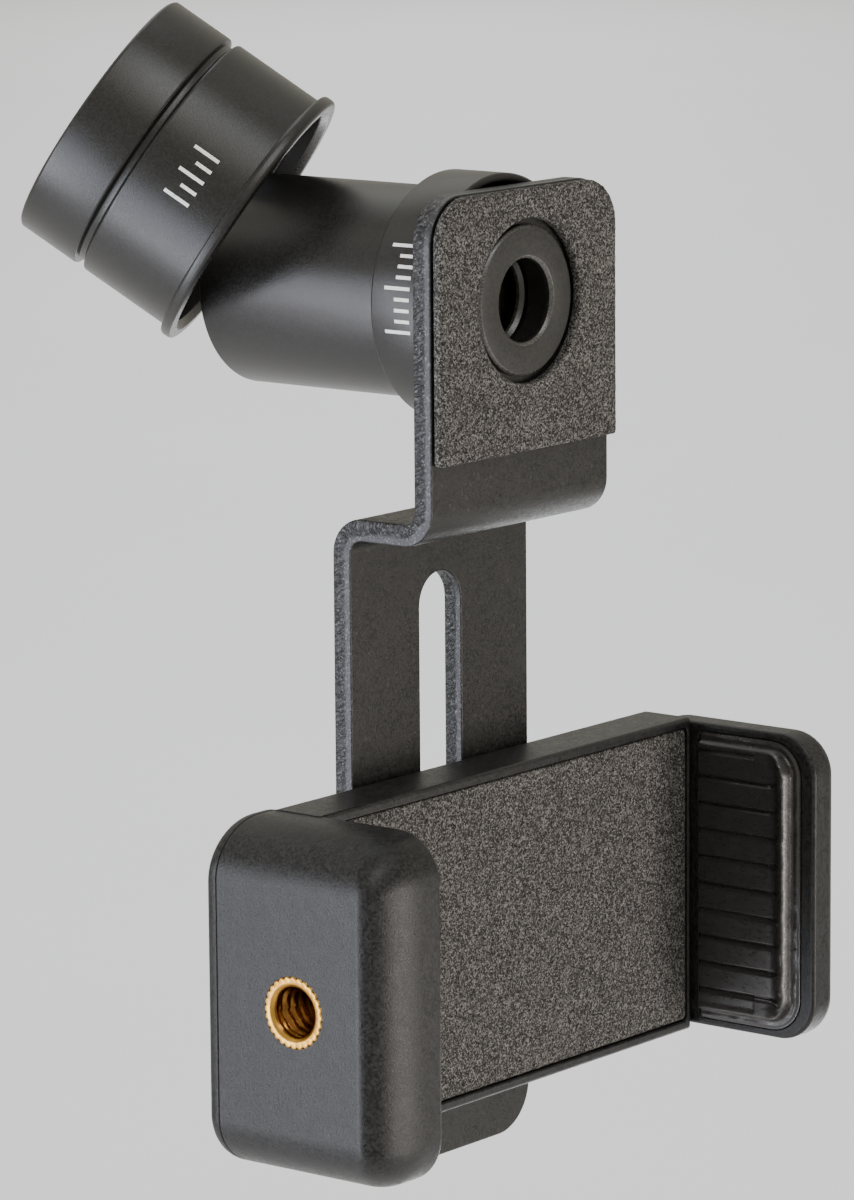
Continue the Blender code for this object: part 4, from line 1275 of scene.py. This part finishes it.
def camera():
    data = bpy.data.cameras.new("camera")
    data.lens = CAMERA_LENS
    data.sensor_width = 36.0
    data.sensor_fit = "AUTO"
    data.clip_start = 0.05
    data.clip_end = 20.0
    made = linked("camera", data)
    made.matrix_world = aim(CAMERA_PLACE, CAMERA_TARGET, CAMERA_ROLL)
    bpy.context.scene.camera = made


def around(azimuth, height, distance):
    """A place at an azimuth in degrees, at a height and a distance from the head's axis."""
    angle = math.radians(azimuth)
    return distance * math.cos(angle), distance * math.sin(angle), height


def above(azimuth, elevation):
    """A place at an azimuth and an elevation in degrees, seen from the middle of the part."""
    rise = math.radians(elevation)
    return around(azimuth, LIGHT_TARGET[2] + HIGH_LIGHTS * math.sin(rise), HIGH_LIGHTS * math.cos(rise))


LIGHT_TARGET = (0, 0, -20)
HIGH_LIGHTS = 900.0
# Softboxes: name, place, size in millimetres, power in watts, colour.
SOFTBOXES = [
    ("low_left_rear", around(142, -170, 450), (110, 230), 0.15, (0.89, 0.81, 1.0)),
    ("low_left", around(157, -170, 450), (110, 230), 1.24, (0.89, 0.93, 1.0)),
    ("low_left_front", around(172, -170, 450), (110, 230), 0.19, (0.71, 0.81, 1.0)),
    ("left_rear", around(142, -40, 450), (110, 110), 0.42, (0.89, 0.9, 1.0)),
    ("left_band", around(142, 55, 450), (170, 50), 0.34, (0.85, 0.88, 1.0)),
    ("left_strip", around(178, -120, 450), (50, 240), 0.52, (0.84, 0.87, 1.0)),
    ("low_right", around(290, -150, 480), (130, 240), 1.54, (1.0, 0.92, 0.88)),
    ("low_right_rear", around(14, -285, 340), (330, 110), 0.42, (0.95, 0.97, 1.0)),
    ("high_front_left", above(235, 45), (300, 300), 1.01, (1.0, 0.96, 0.92)),
    ("high_front", above(258, 55), (300, 300), 1.79, (0.96, 1.0, 1.0)),
    ("high_rear", above(60, 45), (600, 300), 0.59, (0.96, 1.0, 0.95)),
    ("high_rear_left", above(118, 42), (300, 300), 0.25, (1.0, 0.97, 0.95)),
    ("high_left", above(160, 40), (400, 300), 0.15, (1.0, 0.75, 0.63)),
]
FLOOR_LEVEL = -300
FLOOR_HALF = 6000
FLOOR_STRIP_PLACE = (2020, 1590, 1100)
FLOOR_STRIP_SIZE = (900, 4500)
FLOOR_STRIP_POWER = 13.6
FLOOR_STRIP_TURN = -52
FLOOR_STRIP_SPREAD = 70
WORLD_LIGHT = 0.656


def soft_light(name, where, size, power, colour):
    data = bpy.data.lights.new(name, "AREA")
    data.shape = "RECTANGLE"
    data.size = size[0] * MM
    data.size_y = size[1] * MM
    data.energy = power
    data.color = colour
    made = linked(name, data)
    made.matrix_world = where
    return made


def floor():
    """A pale floor well below the part, so that the part stands free in front of it."""
    shape = bmesh.new()
    bmesh.ops.create_grid(shape, x_segments=8, y_segments=8, size=FLOOR_HALF * MM)
    made = linked("floor", mesh_of(shape, "floor"))
    made.location = (0, 0, FLOOR_LEVEL * MM)
    made.data.materials.append(floor_paint())


def stage():
    floor()
    for name, place, size, power, colour in SOFTBOXES:
        soft_light(name, aim(place, LIGHT_TARGET), size, power, colour)
    x, y, z = FLOOR_STRIP_PLACE
    facing_down = at(x * MM, y * MM, z * MM) @ Matrix.Rotation(math.radians(FLOOR_STRIP_TURN), 4, "Z")
    strip = soft_light("floor_strip", facing_down, FLOOR_STRIP_SIZE, FLOOR_STRIP_POWER, (0.84, 0.88, 1.0))
    strip.data.spread = math.radians(FLOOR_STRIP_SPREAD)
    world = bpy.data.worlds.new("studio")
    world.use_nodes = True
    background = world.node_tree.nodes["Background"]
    background.inputs["Color"].default_value = (1.0, 0.96, 0.83, 1.0)
    background.inputs["Strength"].default_value = WORLD_LIGHT
    bpy.context.scene.world = world


camera()
bracket()
foam_pads()
lock_ring()
head_collar()
barrel_tube()
optics()
index_marks()
sleeve()
clamp_shell()
clamp_cover()
cover_screws()
inserts()
rubber_pad("fixed_pad", "fixed_jaw_pad", FIXED_INNER, 1, "clamp")
moving_jaw()
rubber_pad("moving_pad", "moving_jaw_pad", MOVING_INNER, -1, "jaw")
rods_and_springs()
knob_grip()
knob_stud()
screw_washer()
stage()
